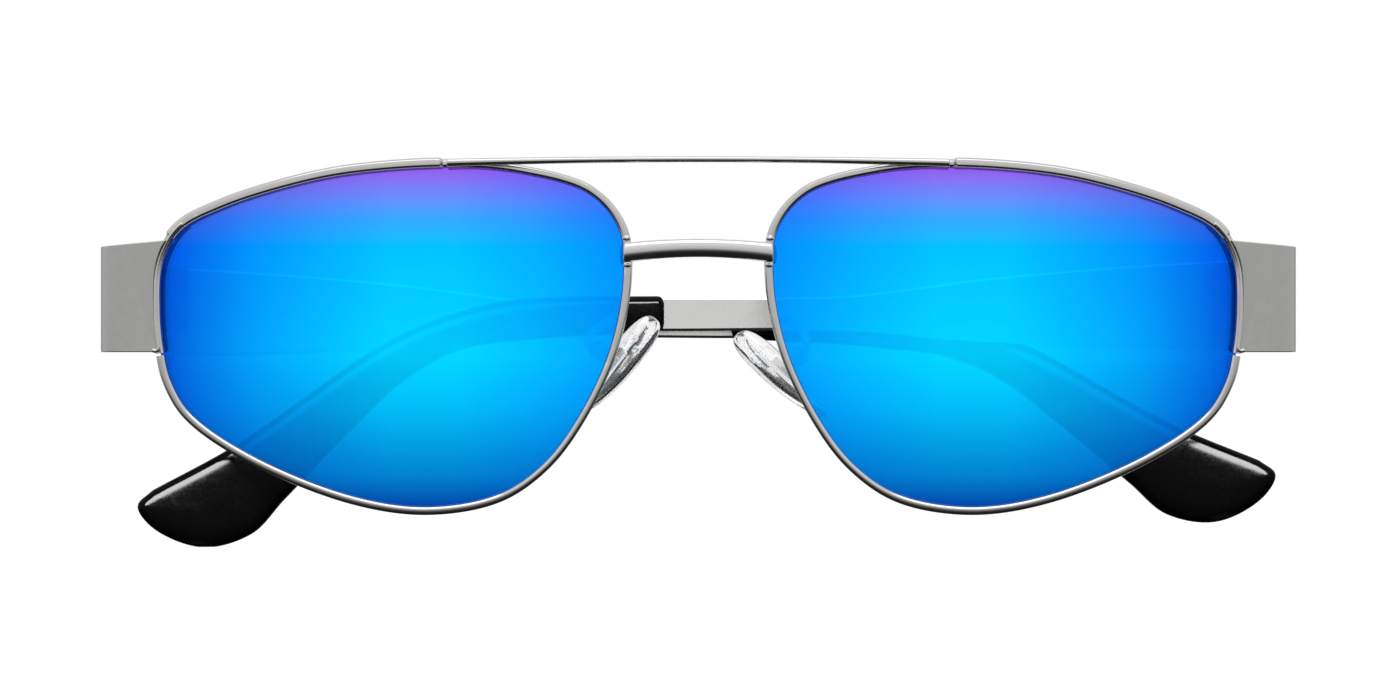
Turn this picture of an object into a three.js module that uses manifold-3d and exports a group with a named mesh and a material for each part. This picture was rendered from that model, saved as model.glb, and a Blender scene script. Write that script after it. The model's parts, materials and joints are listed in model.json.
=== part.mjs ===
// Aviator sunglasses with folded temples, in millimetres: the lenses face -Y, +Z is up, and left and right
// are those of someone looking at the front, so right is +X. The origin is the bottom centre of the box.
// Every paired piece is drawn for the right side; the left side is the same code in a mirrored group.
import * as THREE from "three";
import { mergeVertices } from "three/addons/utils/BufferGeometryUtils.js";
import Module from "manifold-3d";

const wasm = await Module();
wasm.setup();

// ---- driving dimensions: front ----
const LENS_CENTRE_X = 36.8; // half of the lens width plus the bridge, to the middle of one lens
const NOSE_EDGE_X = 9; // lens edge beside the nose
const WRAP = Math.tan(THREE.MathUtils.degToRad(5)); // face-form slope of each lens
const LENS_RADIUS = 130; // spherical radius of the lenses and rims
const LENS_HALF_THICKNESS = 0.75;
const RIM_WIDTH = 1.05; // seen from the front, outside the lens edge
const RIM_HALF_DEPTH = 1.05;
const RIM_SPLIT = 0.3; // gap where the eyewire is closed by its lock
const LENS_SEAT_GAP = 0.1; // between the lens edge and the lips of the rim
const LENS_BEVEL_REACH = 0.4; // how far the lens edge stands into the rim's groove
const RIM_LIP_HALF_DEPTH = 0.85;
const RIM_BEVEL = 0.3;
const GROOVE_HALF_MOUTH = 0.62;
const GROOVE_DEPTH = 0.62;
const BRAZE_GAP = 0.12; // between pieces that the real object brazes together

// ---- driving dimensions: end pieces and hinges ----
const OUTER_X = 72.05; // outer face of the end piece and of the open temple
const WALL = 1.3; // thickness of the end piece and of the temple bar
const END_PIECE_BOTTOM = -1.7;
const END_PIECE_TOP_INNER = 11.75;
const END_PIECE_TOP_OUTER = 11.05;
const HINGE_X = OUTER_X - 2.7;
const HINGE_Y = 16;
const HINGE_GAP = 0.35; // between the hinge plane and the temple's butt end
const BARREL_RADIUS = 1.3;
const BARREL_HOLE = 0.71;
const SCREW_RADIUS = 0.62;
const BARREL_FLOORS = [0.6, 3.1, 6.1]; // bottom of each of the three knuckles
const BARREL_TOPS = [3.0, 6.0, 8.5];
const LEAF_THICKNESS = 0.9;
const LOCK_X = 64.05; // axis of the rim lock screw
const LOCK_Y = 10.2;
const LOCK_INNER_X = 63.1;
const LOCK_HALF_DEPTH = 1;
const LOCK_HOLE = 0.58;
const LOCK_SCREW_RADIUS = 0.5;
const LOCK_UPPER_TOP = 0.3;
const LOCK_LOWER_FLOOR = -3.3;
const LOCK_LOWER_REACH = 65;

// ---- driving dimensions: temples ----
const TEMPLE_MIDDLE = OUTER_X - HINGE_X - WALL / 2; // middle of the temple's thickness, from the hinge axis
const TIP_START = 73.5; // distance from the hinge to the front edge of the plastic tip
const TIP_HALF_THICKNESS = 1.5;
const TIP_CURVE_START = 60;
const TIP_CURVE_IN = 3; // how far the end of the tip curves towards the head
const TIP_LENGTH = 137.3; // distance from the hinge to the end of the tip
const CORE_HALF_HEIGHT = 0.9;
const CORE_HALF_THICKNESS = 0.4;
const CORE_END = 116;
const CORE_CLEARANCE = 0.25;
const TIP_PIVOT = new THREE.Vector2(96, 1.6); // middle of the ear bend

// ---- driving dimensions: nose pads ----
const PAD_HALF_LENGTH = 7.3;
const PAD_HALF_WIDTH = 4.1;
const PAD_HALF_THICKNESS = 1.3;
const PAD_TAPER = 0.16; // how much wider the round top end is than the middle
const PAD_ROUNDNESS = { top: 2.7, bottom: 1.8 }; // of each end's outline, where 2 is an ellipse
const PAD_CENTRE = new THREE.Vector3(9.75, 9.2, -3.3);
const PAD_LEAN = 39; // degrees from upright, seen from the front
const PAD_SPLAY = 28; // degrees that the back edge flares outwards
const PAD_SCREW_DEPTH = 2.8; // behind the middle of the pad
const PAD_ARM_RADIUS = 0.5;
const PAD_HOLE = 0.48; // bore of the lug and of the box
const PAD_SCREW_RADIUS = 0.4;
const LUG_HALF_WIDTH = 0.4;
const BOX_HALF_WIDTH = 1.1;
const BOX_HALF_ACROSS = 1;
const BOX_SLOT_HALF = 0.5;
const BOX_BACK = -PAD_SCREW_DEPTH - 1.15;

// ---- how this pair sits: the right temple is folded first, and the left one lies behind it ----
const SIDES = [
  { name: "right", mirror: 1, fold: 91, drop: 0, unbend: 0, reach: 0, padSet: -9, padDrop: 0.8 },
  { name: "left", mirror: -1, fold: 87.5, drop: 0.85, unbend: 6.1, reach: 0.55, padSet: 0, padDrop: 0 },
];

// ---- small helpers ----
const v3 = (x, y, z) => new THREE.Vector3(x, y, z);
const v2 = (x, y) => new THREE.Vector2(x, y);
const radians = THREE.MathUtils.degToRad;
const smooth = (value, low, high) => THREE.MathUtils.smoothstep(value, low, high);

/** Indexed geometry with shared vertices, faces turned outwards. */
function closed(geometry) {
  const bare = geometry.clone();
  bare.deleteAttribute("normal");
  bare.deleteAttribute("uv");
  const merged = mergeVertices(bare, 1e-4);
  const { array } = merged.attributes.position;
  const corners = merged.index.array;
  const point = (i) => v3(array[3 * i], array[3 * i + 1], array[3 * i + 2]);
  let volume = 0;
  for (let i = 0; i < corners.length; i += 3) {
    const a = point(corners[i]);
    volume += a.dot(point(corners[i + 1]).cross(point(corners[i + 2])));
  }
  if (volume < 0) {
    for (let i = 0; i < corners.length; i += 3) {
      const swap = corners[i];
      corners[i] = corners[i + 1];
      corners[i + 1] = swap;
    }
  }
  return merged;
}

/** A manifold solid of a closed geometry, for joining and cutting. */
function solid(geometry) {
  const { attributes, index } = closed(geometry);
  return new wasm.Manifold(
    new wasm.Mesh({
      numProp: 3,
      vertProperties: new Float32Array(attributes.position.array),
      triVerts: new Uint32Array(index.array),
    }),
  );
}

/** The geometry of a manifold solid. */
function geometryOf(manifold) {
  const mesh = manifold.getMesh();
  const geometry = new THREE.BufferGeometry();
  geometry.setAttribute("position", new THREE.BufferAttribute(new Float32Array(mesh.vertProperties), 3));
  geometry.setIndex(new THREE.BufferAttribute(new Uint32Array(mesh.triVerts), 1));
  return geometry;
}

/** A closed body through rings of equal size, capped in the section's outline or by fans to two centres. */
function loft(rings, { section, centres }) {
  const size = rings[0].length;
  const positions = rings.flat().flatMap((p) => [p.x, p.y, p.z]);
  const index = [];
  for (let i = 0; i < rings.length - 1; i += 1) {
    const here = i * size;
    const next = here + size;
    for (let j = 0; j < size; j += 1) {
      const k = (j + 1) % size;
      index.push(here + j, next + j, next + k);
      index.push(here + j, next + k, here + k);
    }
  }
  const last = (rings.length - 1) * size;
  if (section) {
    for (const [a, b, c] of THREE.ShapeUtils.triangulateShape(section, [])) {
      index.push(a, b, c);
      index.push(last + a, last + c, last + b);
    }
  } else {
    const centre = rings.length * size;
    centres.forEach((p) => positions.push(p.x, p.y, p.z));
    for (let j = 0; j < size; j += 1) {
      const k = (j + 1) % size;
      index.push(centre, j, k);
      index.push(centre + 1, last + k, last + j);
    }
  }
  const geometry = new THREE.BufferGeometry();
  geometry.setAttribute("position", new THREE.Float32BufferAttribute(positions, 3));
  geometry.setIndex(index);
  return geometry;
}

/** A box between two corners. */
function box(low, high) {
  const geometry = new THREE.BoxGeometry(high.x - low.x, high.y - low.y, high.z - low.z);
  return geometry.translate((low.x + high.x) / 2, (low.y + high.y) / 2, (low.z + high.z) / 2);
}

/** A round bar or ring turned about the Z axis, from its (radius, height) profile. */
function turned(profile, segments = 20) {
  const points = profile.map(([radius, height]) => v2(radius, height));
  return new THREE.LatheGeometry(points, segments).rotateX(Math.PI / 2);
}

/** A round bar about the Z axis. */
function bar(radius, low, high, segments) {
  return turned([[0, low], [radius, low], [radius, high], [0, high]], segments);
}

/** A slotted screw about the Z axis: head from z = 0 down to -headHeight, shank up to length. */
function screw(radius, headRadius, headHeight, length) {
  const head = [[0, -headHeight], [headRadius, -headHeight], [headRadius, 0]];
  const shank = [[radius, 0], [radius, length], [0, length]];
  const blank = turned([...head, ...shank], 16);
  const slotDepth = headHeight * 0.45;
  const slotHalf = headRadius * 0.16;
  const low = v3(-headRadius * 1.2, -slotHalf, -headHeight - 1);
  const slot = box(low, v3(headRadius * 1.2, slotHalf, slotDepth - headHeight));
  return geometryOf(solid(blank).subtract(solid(slot)));
}

/** A body swept along a curve in space with a round section. */
function wire(points, radius, steps) {
  const circle = new THREE.Shape();
  circle.absarc(0, 0, radius, 0, 2 * Math.PI);
  const path = new THREE.CatmullRomCurve3(points);
  return new THREE.ExtrudeGeometry(circle, { steps, curveSegments: 5, extrudePath: path });
}

// ---- front surface ----

/** Depth of the front's middle surface: a spherical dome for each lens, wrapped back at the sides. */
function sag(x, z) {
  const u = x - LENS_CENTRE_X;
  return (x - NOSE_EDGE_X) * WRAP + (u * u + z * z) / (2 * LENS_RADIUS);
}

/** Lens edge from the front, about the lens centre, starting at the rim's split on the temple side. */
const LENS_EDGE = [
  [27.45, -1.9], [26.7, -5.0], [24.4, -8.9], [17.6, -13.7], [4.9, -18.9], [-4.5, -20.25], [-13.0, -18.7],
  [-18.25, -15.15], [-22.3, -9.85], [-26.2, -1.65], [-27.85, 6.6], [-27.4, 12.9], [-23.85, 17.25],
  [-15.5, 19.75], [-7.6, 20.45], [4.9, 19.65], [12.7, 18.05], [20.6, 15.5], [25.4, 12.95], [27.6, 9.1],
  [27.95, 3],
];
const lensEdge = new THREE.CatmullRomCurve3(LENS_EDGE.map(([u, z]) => v3(u, 0, z)), true, "centripetal");
lensEdge.arcLengthDivisions = 600;

/** Points of the lens edge with their outward directions, from one parameter to another. */
function edgeSamples(from, to, count, loop) {
  const samples = [];
  const spans = loop ? count : count - 1;
  for (let i = 0; i < count; i += 1) {
    const t = from + ((to - from) * i) / spans;
    const point = lensEdge.getPointAt(t);
    const along = lensEdge.getTangentAt(t);
    samples.push({ x: point.x + LENS_CENTRE_X, z: point.z, outX: -along.z, outZ: along.x });
  }
  return samples;
}

/** A point beside the lens edge: outwards by out, behind the middle surface by back. */
function beside({ x, z, outX, outZ }, out, back) {
  const px = x + outX * out;
  const pz = z + outZ * out;
  return v3(px, sag(px, pz) + back, pz);
}

/** Eyewire: a flat-faced wire with bevelled corners and a V groove for the lens, split at its lock. */
function rim() {
  const section = [
    v2(0, -RIM_LIP_HALF_DEPTH), v2(RIM_BEVEL, -RIM_HALF_DEPTH), v2(RIM_WIDTH - RIM_BEVEL, -RIM_HALF_DEPTH),
    v2(RIM_WIDTH, RIM_BEVEL - RIM_HALF_DEPTH), v2(RIM_WIDTH, RIM_HALF_DEPTH - RIM_BEVEL),
    v2(RIM_WIDTH - RIM_BEVEL, RIM_HALF_DEPTH), v2(0, RIM_LIP_HALF_DEPTH),
    v2(0, GROOVE_HALF_MOUTH), v2(GROOVE_DEPTH, 0), v2(0, -GROOVE_HALF_MOUTH),
  ];
  const halfSplit = RIM_SPLIT / 2 / lensEdge.getLength();
  const samples = edgeSamples(halfSplit, 1 - halfSplit, 84, false);
  return loft(samples.map((sample) => section.map((p) => beside(sample, p.x, p.y))), { section });
}

/** Lens: a dome of even thickness, bevelled round its edge to sit in the rim's groove. */
function lens() {
  const samples = edgeSamples(0, 1, 60, true);
  const shells = [0.3, 0.68];
  const inset = (sample, scale, back) => {
    const x = LENS_CENTRE_X + (sample.x - LENS_CENTRE_X) * scale;
    const z = sample.z * scale;
    return v3(x, sag(x, z) + back, z);
  };
  const front = shells.map((scale) => samples.map((s) => inset(s, scale, -LENS_HALF_THICKNESS)));
  const back = shells.map((scale) => samples.map((s) => inset(s, scale, LENS_HALF_THICKNESS)));
  const bevelled = (out, depth) => samples.map((s) => beside(s, out, depth));
  const rings = [
    ...front,
    bevelled(-LENS_SEAT_GAP - 0.1, -LENS_HALF_THICKNESS),
    bevelled(-LENS_SEAT_GAP, 0.25 - LENS_HALF_THICKNESS),
    bevelled(LENS_BEVEL_REACH, 0),
    bevelled(-LENS_SEAT_GAP, LENS_HALF_THICKNESS - 0.25),
    bevelled(-LENS_SEAT_GAP - 0.1, LENS_HALF_THICKNESS),
    ...back.reverse(),
  ];
  const middle = { x: LENS_CENTRE_X, z: 0 };
  const centres = [inset(middle, 0, -LENS_HALF_THICKNESS), inset(middle, 0, LENS_HALF_THICKNESS)];
  return loft(rings, { centres });
}

/** A bar across the front on an arched path, with a half-round face and a flat back. */
function crossBar(halfSpan, steps, centre, halfHeight, halfDepth) {
  const section = [];
  for (let i = 0; i <= 8; i += 1) {
    const angle = (Math.PI * i) / 8;
    section.push(v2(-Math.sin(angle), Math.cos(angle)));
  }
  section.push(v2(0.6, -1), v2(0.6, 1));
  const rings = [];
  for (let i = 0; i <= steps; i += 1) {
    const x = halfSpan * ((2 * i) / steps - 1);
    const [y, z] = centre(x);
    const half = halfHeight(x);
    rings.push(section.map((p) => v3(x, y + p.x * halfDepth, z + p.y * half)));
  }
  return loft(rings, { section });
}

/** Brow bar: thin, nearly straight, brazed on the fronts of both rims along their tops. */
function browBar() {
  const halfSpan = 30.05;
  const centre = (x) => [1.95 - 0.5 * (1 - (x / halfSpan) ** 2), 21.35 - 0.4 * (x / halfSpan) ** 2];
  const halfHeight = (x) => 0.36 + 0.12 * (x / halfSpan) ** 2;
  return crossBar(halfSpan, 20, centre, halfHeight, 0.5);
}

/** Nose bridge: a polished half-round bar, bowed up and forwards between the rims. */
function noseBridge() {
  const halfSpan = 8.95;
  const centre = (x) => [1.45 - 0.7 * (1 - (x / halfSpan) ** 2), 10.75 - 0.55 * (x / halfSpan) ** 2];
  const halfHeight = (x) => 1.1 + 0.1 * (x / halfSpan) ** 2;
  return crossBar(halfSpan, 14, centre, halfHeight, 0.8);
}

// ---- end pieces, locks and hinges ----

/** End piece: a plate from the rim's front that turns the corner and runs back to the hinge. */
function endPiece() {
  const backAt = (x) => sag(x, 0) - RIM_HALF_DEPTH - BRAZE_GAP;
  const plan = new THREE.Shape();
  plan.moveTo(62, backAt(62) - WALL);
  plan.lineTo(69, backAt(69) - WALL);
  plan.quadraticCurveTo(OUTER_X, backAt(OUTER_X) - WALL, OUTER_X, 10.6);
  plan.lineTo(OUTER_X, HINGE_Y - 0.1);
  plan.lineTo(OUTER_X - WALL, HINGE_Y - 0.1);
  plan.lineTo(OUTER_X - WALL, 10.8);
  plan.quadraticCurveTo(OUTER_X - WALL, backAt(OUTER_X - WALL), 68.4, backAt(68.4));
  plan.lineTo(62, backAt(62));
  const bent = new THREE.ExtrudeGeometry(plan, { depth: 16, bevelEnabled: false, curveSegments: 8 });
  bent.translate(0, 0, END_PIECE_BOTTOM - 1);

  const front = new THREE.Shape();
  const inner = edgeSamples(0.885, 1, 9, false).map((s) => v2(s.x + s.outX * 0.3, s.z + s.outZ * 0.3));
  front.moveTo(64.9, END_PIECE_BOTTOM);
  front.lineTo(OUTER_X + 1, END_PIECE_BOTTOM);
  front.lineTo(OUTER_X + 1, END_PIECE_TOP_OUTER - 0.15);
  front.lineTo(OUTER_X - 0.4, END_PIECE_TOP_OUTER);
  front.lineTo(63.9, END_PIECE_TOP_INNER);
  for (const p of inner.filter(({ y }) => y < END_PIECE_TOP_INNER - 0.3 && y > END_PIECE_BOTTOM + 0.2)) {
    front.lineTo(p.x, p.y);
  }
  const outline = new THREE.ExtrudeGeometry(front, { depth: 20, bevelEnabled: false });
  outline.rotateX(Math.PI / 2).translate(0, 21, 0);
  return geometryOf(solid(bent).intersect(solid(outline)));
}

/** One post of the rim lock, with the clearance hole of its screw. */
function rimLock(low, high, reach) {
  const inner = v3(LOCK_INNER_X, LOCK_Y - LOCK_HALF_DEPTH, low);
  const post = solid(box(inner, v3(reach, LOCK_Y + LOCK_HALF_DEPTH, high)));
  const hole = bar(LOCK_HOLE, low - 1, high + 1, 16);
  return geometryOf(post.subtract(solid(hole.translate(LOCK_X, LOCK_Y, 0))));
}

/** Front half of the hinge: upper and lower knuckles on a leaf inside the end piece. */
function hingeFront() {
  const leafOuter = OUTER_X - WALL - 0.1;
  const leaf = box(
    v3(leafOuter - LEAF_THICKNESS, HINGE_Y - 5.2, BARREL_FLOORS[0]),
    v3(leafOuter, HINGE_Y - 1.45, BARREL_TOPS[2]),
  );
  let hinge = solid(leaf);
  for (const i of [0, 2]) {
    const barrel = bar(BARREL_RADIUS, BARREL_FLOORS[i], BARREL_TOPS[i]);
    const web = box(
      v3(leafOuter - LEAF_THICKNESS, HINGE_Y - 1.6, BARREL_FLOORS[i]),
      v3(leafOuter, HINGE_Y - 0.3, BARREL_TOPS[i]),
    );
    hinge = hinge.add(solid(barrel.translate(HINGE_X, HINGE_Y, 0))).add(solid(web));
  }
  const hole = bar(BARREL_HOLE, BARREL_FLOORS[0] - 1, BARREL_TOPS[2] + 1);
  return geometryOf(hinge.subtract(solid(hole.translate(HINGE_X, HINGE_Y, 0))));
}

/** Temple half of the hinge: the middle knuckle on a leaf, about the hinge axis, temple open. */
function hingeTemple() {
  const leafOuter = OUTER_X - WALL - HINGE_X - 0.1;
  const [low, high] = [BARREL_FLOORS[1], BARREL_TOPS[1]];
  const barrel = bar(BARREL_RADIUS, low, high);
  const hole = bar(BARREL_HOLE, low - 1, high + 1);
  const web = box(v3(leafOuter - LEAF_THICKNESS, 0.3, low), v3(leafOuter, 1.8, high));
  const leaf = box(
    v3(leafOuter - LEAF_THICKNESS, 1.6, BARREL_FLOORS[0]),
    v3(leafOuter, 7.5, BARREL_TOPS[2]),
  );
  return geometryOf(solid(barrel).add(solid(web)).add(solid(leaf)).subtract(solid(hole)));
}

// ---- temples, drawn open: distance from the hinge along +Y, outer face towards +X ----

/** A temple outline point: made longer by reach, its ear bend opened by unbend degrees, lowered by drop. */
function templePoint(s, z, { drop, unbend, reach }) {
  const turn = radians(unbend) * smooth(s, TIP_PIVOT.x - 8, TIP_PIVOT.x + 8);
  const longer = reach * smooth(s, TIP_START + 2, TIP_PIVOT.x - 4);
  const point = v2(s + longer, z).rotateAround(TIP_PIVOT, turn);
  point.y -= drop;
  return point;
}

/** Extrudes an outline of (distance, height) points across the temple, then curves it inwards. */
function templePlate(points, halfThickness) {
  const plate = new THREE.ExtrudeGeometry(new THREE.Shape(points), {
    depth: 2 * halfThickness,
    bevelEnabled: false,
  });
  const { position } = plate.attributes;
  for (let i = 0; i < position.count; i += 1) {
    const s = position.getX(i);
    const inwards = curveIn(s);
    position.setXYZ(i, TEMPLE_MIDDLE - halfThickness + position.getZ(i) - inwards, s, position.getY(i));
  }
  return plate;
}

/** How far the temple has curved in towards the head at a distance from the hinge. */
function curveIn(s) {
  const share = Math.max(0, (s - TIP_CURVE_START) / (TIP_LENGTH - TIP_CURVE_START));
  return TIP_CURVE_IN * share * share;
}

/** Points along a smooth line through the given ones. */
function through(points, count) {
  return new THREE.SplineCurve(points.map(([s, z]) => v2(s, z))).getSpacedPoints(count);
}

/** Pairs of points above and below the middle line of the ear bend, where the core runs inside the tip. */
function corePairs(start, clearance, pose) {
  const line = through([[start, 2.9], [86, 2.6], [93, 2], [100, 0], [108, -4.6], [CORE_END, -11.2]], 16);
  const half = CORE_HALF_HEIGHT + clearance;
  return line.map((point, i) => {
    const before = line[Math.max(0, i - 1)];
    const after = line[Math.min(line.length - 1, i + 1)];
    const along = after.clone().sub(before).normalize();
    const above = templePoint(point.x - along.y * half, point.y + along.x * half, pose);
    const below = templePoint(point.x + along.y * half, point.y - along.x * half, pose);
    return [above, below];
  });
}

/** A four-cornered section across the temple between an upper and a lower point. */
function templeSection([above, below], halfThickness) {
  const corner = ({ x: s, y: z }, side) => v3(TEMPLE_MIDDLE - curveIn(s) + side * halfThickness, s, z);
  return [corner(above, 1), corner(above, -1), corner(below, -1), corner(below, 1)];
}

/** A solid through four-cornered sections. */
function templeLoft(sections) {
  return loft(sections, { section: [v2(1, 1), v2(-1, 1), v2(-1, -1), v2(1, -1)] });
}

/** Temple bar: a flat blade that narrows from the hinge, with the core that carries the tip. */
function templeBar(pose) {
  const end = TIP_START - 0.1;
  const top = through([[HINGE_GAP, 9.7], [15.4, 8.9], [33.2, 7.4], [45.7, 5.8], [52, 5.15], [end, 5]], 14);
  const bottom = through([[HINGE_GAP, -2.2], [19.4, -1.3], [37.6, -0.35], [50, 0.8], [end, 0.85]], 14);
  const placed = (p) => templePoint(p.x, p.y, pose);
  const blade = top.map((above, i) => templeSection([placed(above), placed(bottom[i])], WALL / 2));
  const core = corePairs(end, 0, pose).map((pair) => templeSection(pair, CORE_HALF_THICKNESS));
  return templeLoft([...blade, ...core]);
}

/** Outline of the tip in (distance, height) points: its back, the end of the paddle, its underside. */
const TIP_TOP = [
  [TIP_START, 5.1], [85, 5], [93, 4.45], [100.4, 2.5], [107.8, -0.9], [125, -12.7], [135.4, -18.4],
];
const TIP_END = [
  [135.4, -18.4], [137.2, -20.3], [135.2, -23.1], [129.2, -25.3], [123.4, -23.7], [119.6, -19.7],
];
const TIP_BOTTOM = [
  [119.6, -19.7], [111.3, -11.1], [104.9, -5.1], [98, -1.4], [90, -0.2], [TIP_START, 0.75],
];

/** Temple tip: a plastic sleeve over the core, bent down behind the ear and widened to a paddle. */
function templeTip(pose) {
  const top = through(TIP_TOP, 22);
  const end = through(TIP_END, 12);
  const bottom = through(TIP_BOTTOM, 16);
  const outline = [...top, ...end.slice(1), ...bottom.slice(1)].map((p) => templePoint(p.x, p.y, pose));
  const sleeve = solid(templePlate(outline, TIP_HALF_THICKNESS));
  const boreHalf = CORE_HALF_THICKNESS + CORE_CLEARANCE;
  const bore = corePairs(TIP_START - 2, CORE_CLEARANCE, pose).map((pair) => templeSection(pair, boreHalf));
  return geometryOf(sleeve.subtract(solid(templeLoft(bore))));
}

// ---- nose pads: local X along the pad upwards, local Y across it, local Z towards the nose ----

/** Pad insert: a flat bar in the middle of the pad with a drilled lug for the screw. */
function padInsert(clearance = 0) {
  const c = clearance;
  const blade = box(v3(-3.2 - c, -1.1 - c, -0.45 - c), v3(2 + c, 1.1 + c, 0.45 + c));
  const lugHalf = LUG_HALF_WIDTH + c;
  const lug = box(v3(-0.8 - c, -lugHalf, -PAD_SCREW_DEPTH - 0.65), v3(0.8 + c, lugHalf, 0));
  const insert = solid(blade).add(solid(lug));
  if (clearance > 0) {
    return insert;
  }
  const hole = bar(PAD_HOLE, -2, 2, 14).rotateX(Math.PI / 2);
  return insert.subtract(solid(hole.translate(0, 0, -PAD_SCREW_DEPTH)));
}

/** Silicone pad: a cushion with a round top end and a narrower lower end, moulded round its insert. */
function nosePad() {
  const cushion = new THREE.SphereGeometry(1, 20, 12);
  const { position } = cushion.attributes;
  for (let i = 0; i < position.count; i += 1) {
    const along = position.getY(i);
    const power = along > 0 ? PAD_ROUNDNESS.top : PAD_ROUNDNESS.bottom;
    const ellipse = Math.sqrt(Math.max(0, 1 - along * along));
    const girth = ellipse > 0.01 ? (1 - Math.abs(along) ** power) ** (1 / power) / ellipse : 1;
    const across = position.getX(i) * girth * PAD_HALF_WIDTH * (1 + PAD_TAPER * along);
    const thick = position.getZ(i) * girth * PAD_HALF_THICKNESS;
    position.setXYZ(i, along * PAD_HALF_LENGTH, across, thick);
  }
  return geometryOf(solid(cushion).subtract(padInsert(0.12)));
}

/** Pad box: a metal fork on the pad arm that holds the lug between its cheeks. */
function padBox() {
  const low = v3(-BOX_HALF_WIDTH, -BOX_HALF_ACROSS, BOX_BACK);
  const body = solid(box(low, v3(BOX_HALF_WIDTH, BOX_HALF_ACROSS, 0.6 - PAD_SCREW_DEPTH)));
  const slot = box(v3(-2, -BOX_SLOT_HALF, BOX_BACK + 0.4), v3(2, BOX_SLOT_HALF, 1));
  const hole = bar(PAD_HOLE, -2, 2, 14).rotateX(Math.PI / 2);
  return geometryOf(body.subtract(solid(slot)).subtract(solid(hole.translate(0, 0, -PAD_SCREW_DEPTH))));
}

/** The place and axes of a pad: turned by set degrees about its screw and lowered by drop. */
function padFrame(set, drop) {
  const lean = radians(PAD_LEAN);
  const splay = radians(PAD_SPLAY);
  const up = v3(-Math.sin(lean), 0, Math.cos(lean));
  const across = v3(Math.sin(splay), Math.cos(splay), 0);
  across.addScaledVector(up, -across.dot(up)).normalize();
  const toNose = up.clone().cross(across);
  const frame = new THREE.Matrix4().makeBasis(up, across, toNose);
  frame.setPosition(PAD_CENTRE.x, PAD_CENTRE.y, PAD_CENTRE.z - drop);
  const screwAxis = new THREE.Matrix4().makeTranslation(0, 0, -PAD_SCREW_DEPTH);
  const rocked = new THREE.Matrix4().makeRotationY(radians(set));
  return frame.multiply(screwAxis).multiply(rocked).multiply(screwAxis.clone().invert());
}

/** Pad arm: a wire from the back of the rim, looped out and down to the pad box. */
function padArm(frame) {
  const onRim = v3(9.25, sag(9.25, 2.4) + RIM_HALF_DEPTH + BRAZE_GAP, 2.4);
  const loop = [v3(9.4, 6.2, 2.6), v3(10.7, 8.3, 2.0), v3(12.6, 8.8, 0.9)];
  const before = v3(0, 0, BOX_BACK - 0.95).applyMatrix4(frame);
  const onBox = v3(-0.3, 0, BOX_BACK - BRAZE_GAP).applyMatrix4(frame);
  const points = [onRim, ...loop, before, onBox];
  return wire(points, PAD_ARM_RADIUS, 16);
}

// ---- materials ----
const LOOKS = {
  metal: { color: 0x9a9997, roughness: 0.38, metalness: 1 },
  polished: { color: 0xc8c8c6, roughness: 0.12, metalness: 1 },
  hardware: { color: 0xb4b4b2, roughness: 0.25, metalness: 1 },
  mirror: { color: 0x0f86f0, roughness: 0.05, metalness: 0.6 },
  plastic: { color: 0x0a0a0b, roughness: 0.12, metalness: 0 },
  silicone: { color: 0xe9ecee, roughness: 0.2, metalness: 0 },
};

/** A named piece with a material of its own. */
function piece(name, geometry, look, parent) {
  const mesh = new THREE.Mesh(closed(geometry), new THREE.MeshStandardMaterial(LOOKS[look]));
  mesh.name = name;
  parent.add(mesh);
  return mesh;
}

/** Lens, rim, end piece, lock and hinge of one side. */
function addFront(side, group) {
  const { name } = side;
  piece(`rim_${name}`, rim(), "metal", group);
  piece(`lens_${name}`, lens(), "mirror", group);
  piece(`end_piece_${name}`, endPiece(), "metal", group);
  const upperLock = rimLock(END_PIECE_BOTTOM + 0.1, LOCK_UPPER_TOP, OUTER_X - WALL - 0.6);
  piece(`rim_lock_upper_${name}`, upperLock, "hardware", group);
  const lowerLock = rimLock(LOCK_LOWER_FLOOR, END_PIECE_BOTTOM - 0.4, LOCK_LOWER_REACH);
  piece(`rim_lock_lower_${name}`, lowerLock, "hardware", group);
  const lockBolt = screw(LOCK_SCREW_RADIUS, 0.8, 0.4, 3.6);
  const lockScrew = piece(`rim_lock_screw_${name}`, lockBolt, "hardware", group);
  lockScrew.position.set(LOCK_X, LOCK_Y, LOCK_LOWER_FLOOR - 0.1);
  piece(`hinge_front_${name}`, hingeFront(), "hardware", group);
  const hingeScrew = piece(`hinge_screw_${name}`, screw(SCREW_RADIUS, 1.05, 0.5, 8), "hardware", group);
  hingeScrew.position.set(HINGE_X, HINGE_Y, BARREL_TOPS[2] + 0.1);
  hingeScrew.rotation.x = Math.PI;
}

/** Nose pad of one side, on its arm and box. */
function addPad(side, group) {
  const { name, padSet, padDrop } = side;
  const frame = padFrame(padSet, padDrop);
  piece(`pad_arm_${name}`, padArm(frame), "hardware", group);
  const pad = new THREE.Group();
  pad.applyMatrix4(frame);
  group.add(pad);
  piece(`nose_pad_${name}`, nosePad(), "silicone", pad);
  piece(`pad_insert_${name}`, geometryOf(padInsert()), "hardware", pad);
  piece(`pad_box_${name}`, padBox(), "hardware", pad);
  const padScrew = piece(`pad_screw_${name}`, screw(PAD_SCREW_RADIUS, 0.7, 0.35, 2.1), "hardware", pad);
  padScrew.rotation.x = -Math.PI / 2;
  padScrew.position.set(0, -BOX_HALF_ACROSS - 0.05, -PAD_SCREW_DEPTH);
}

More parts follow.
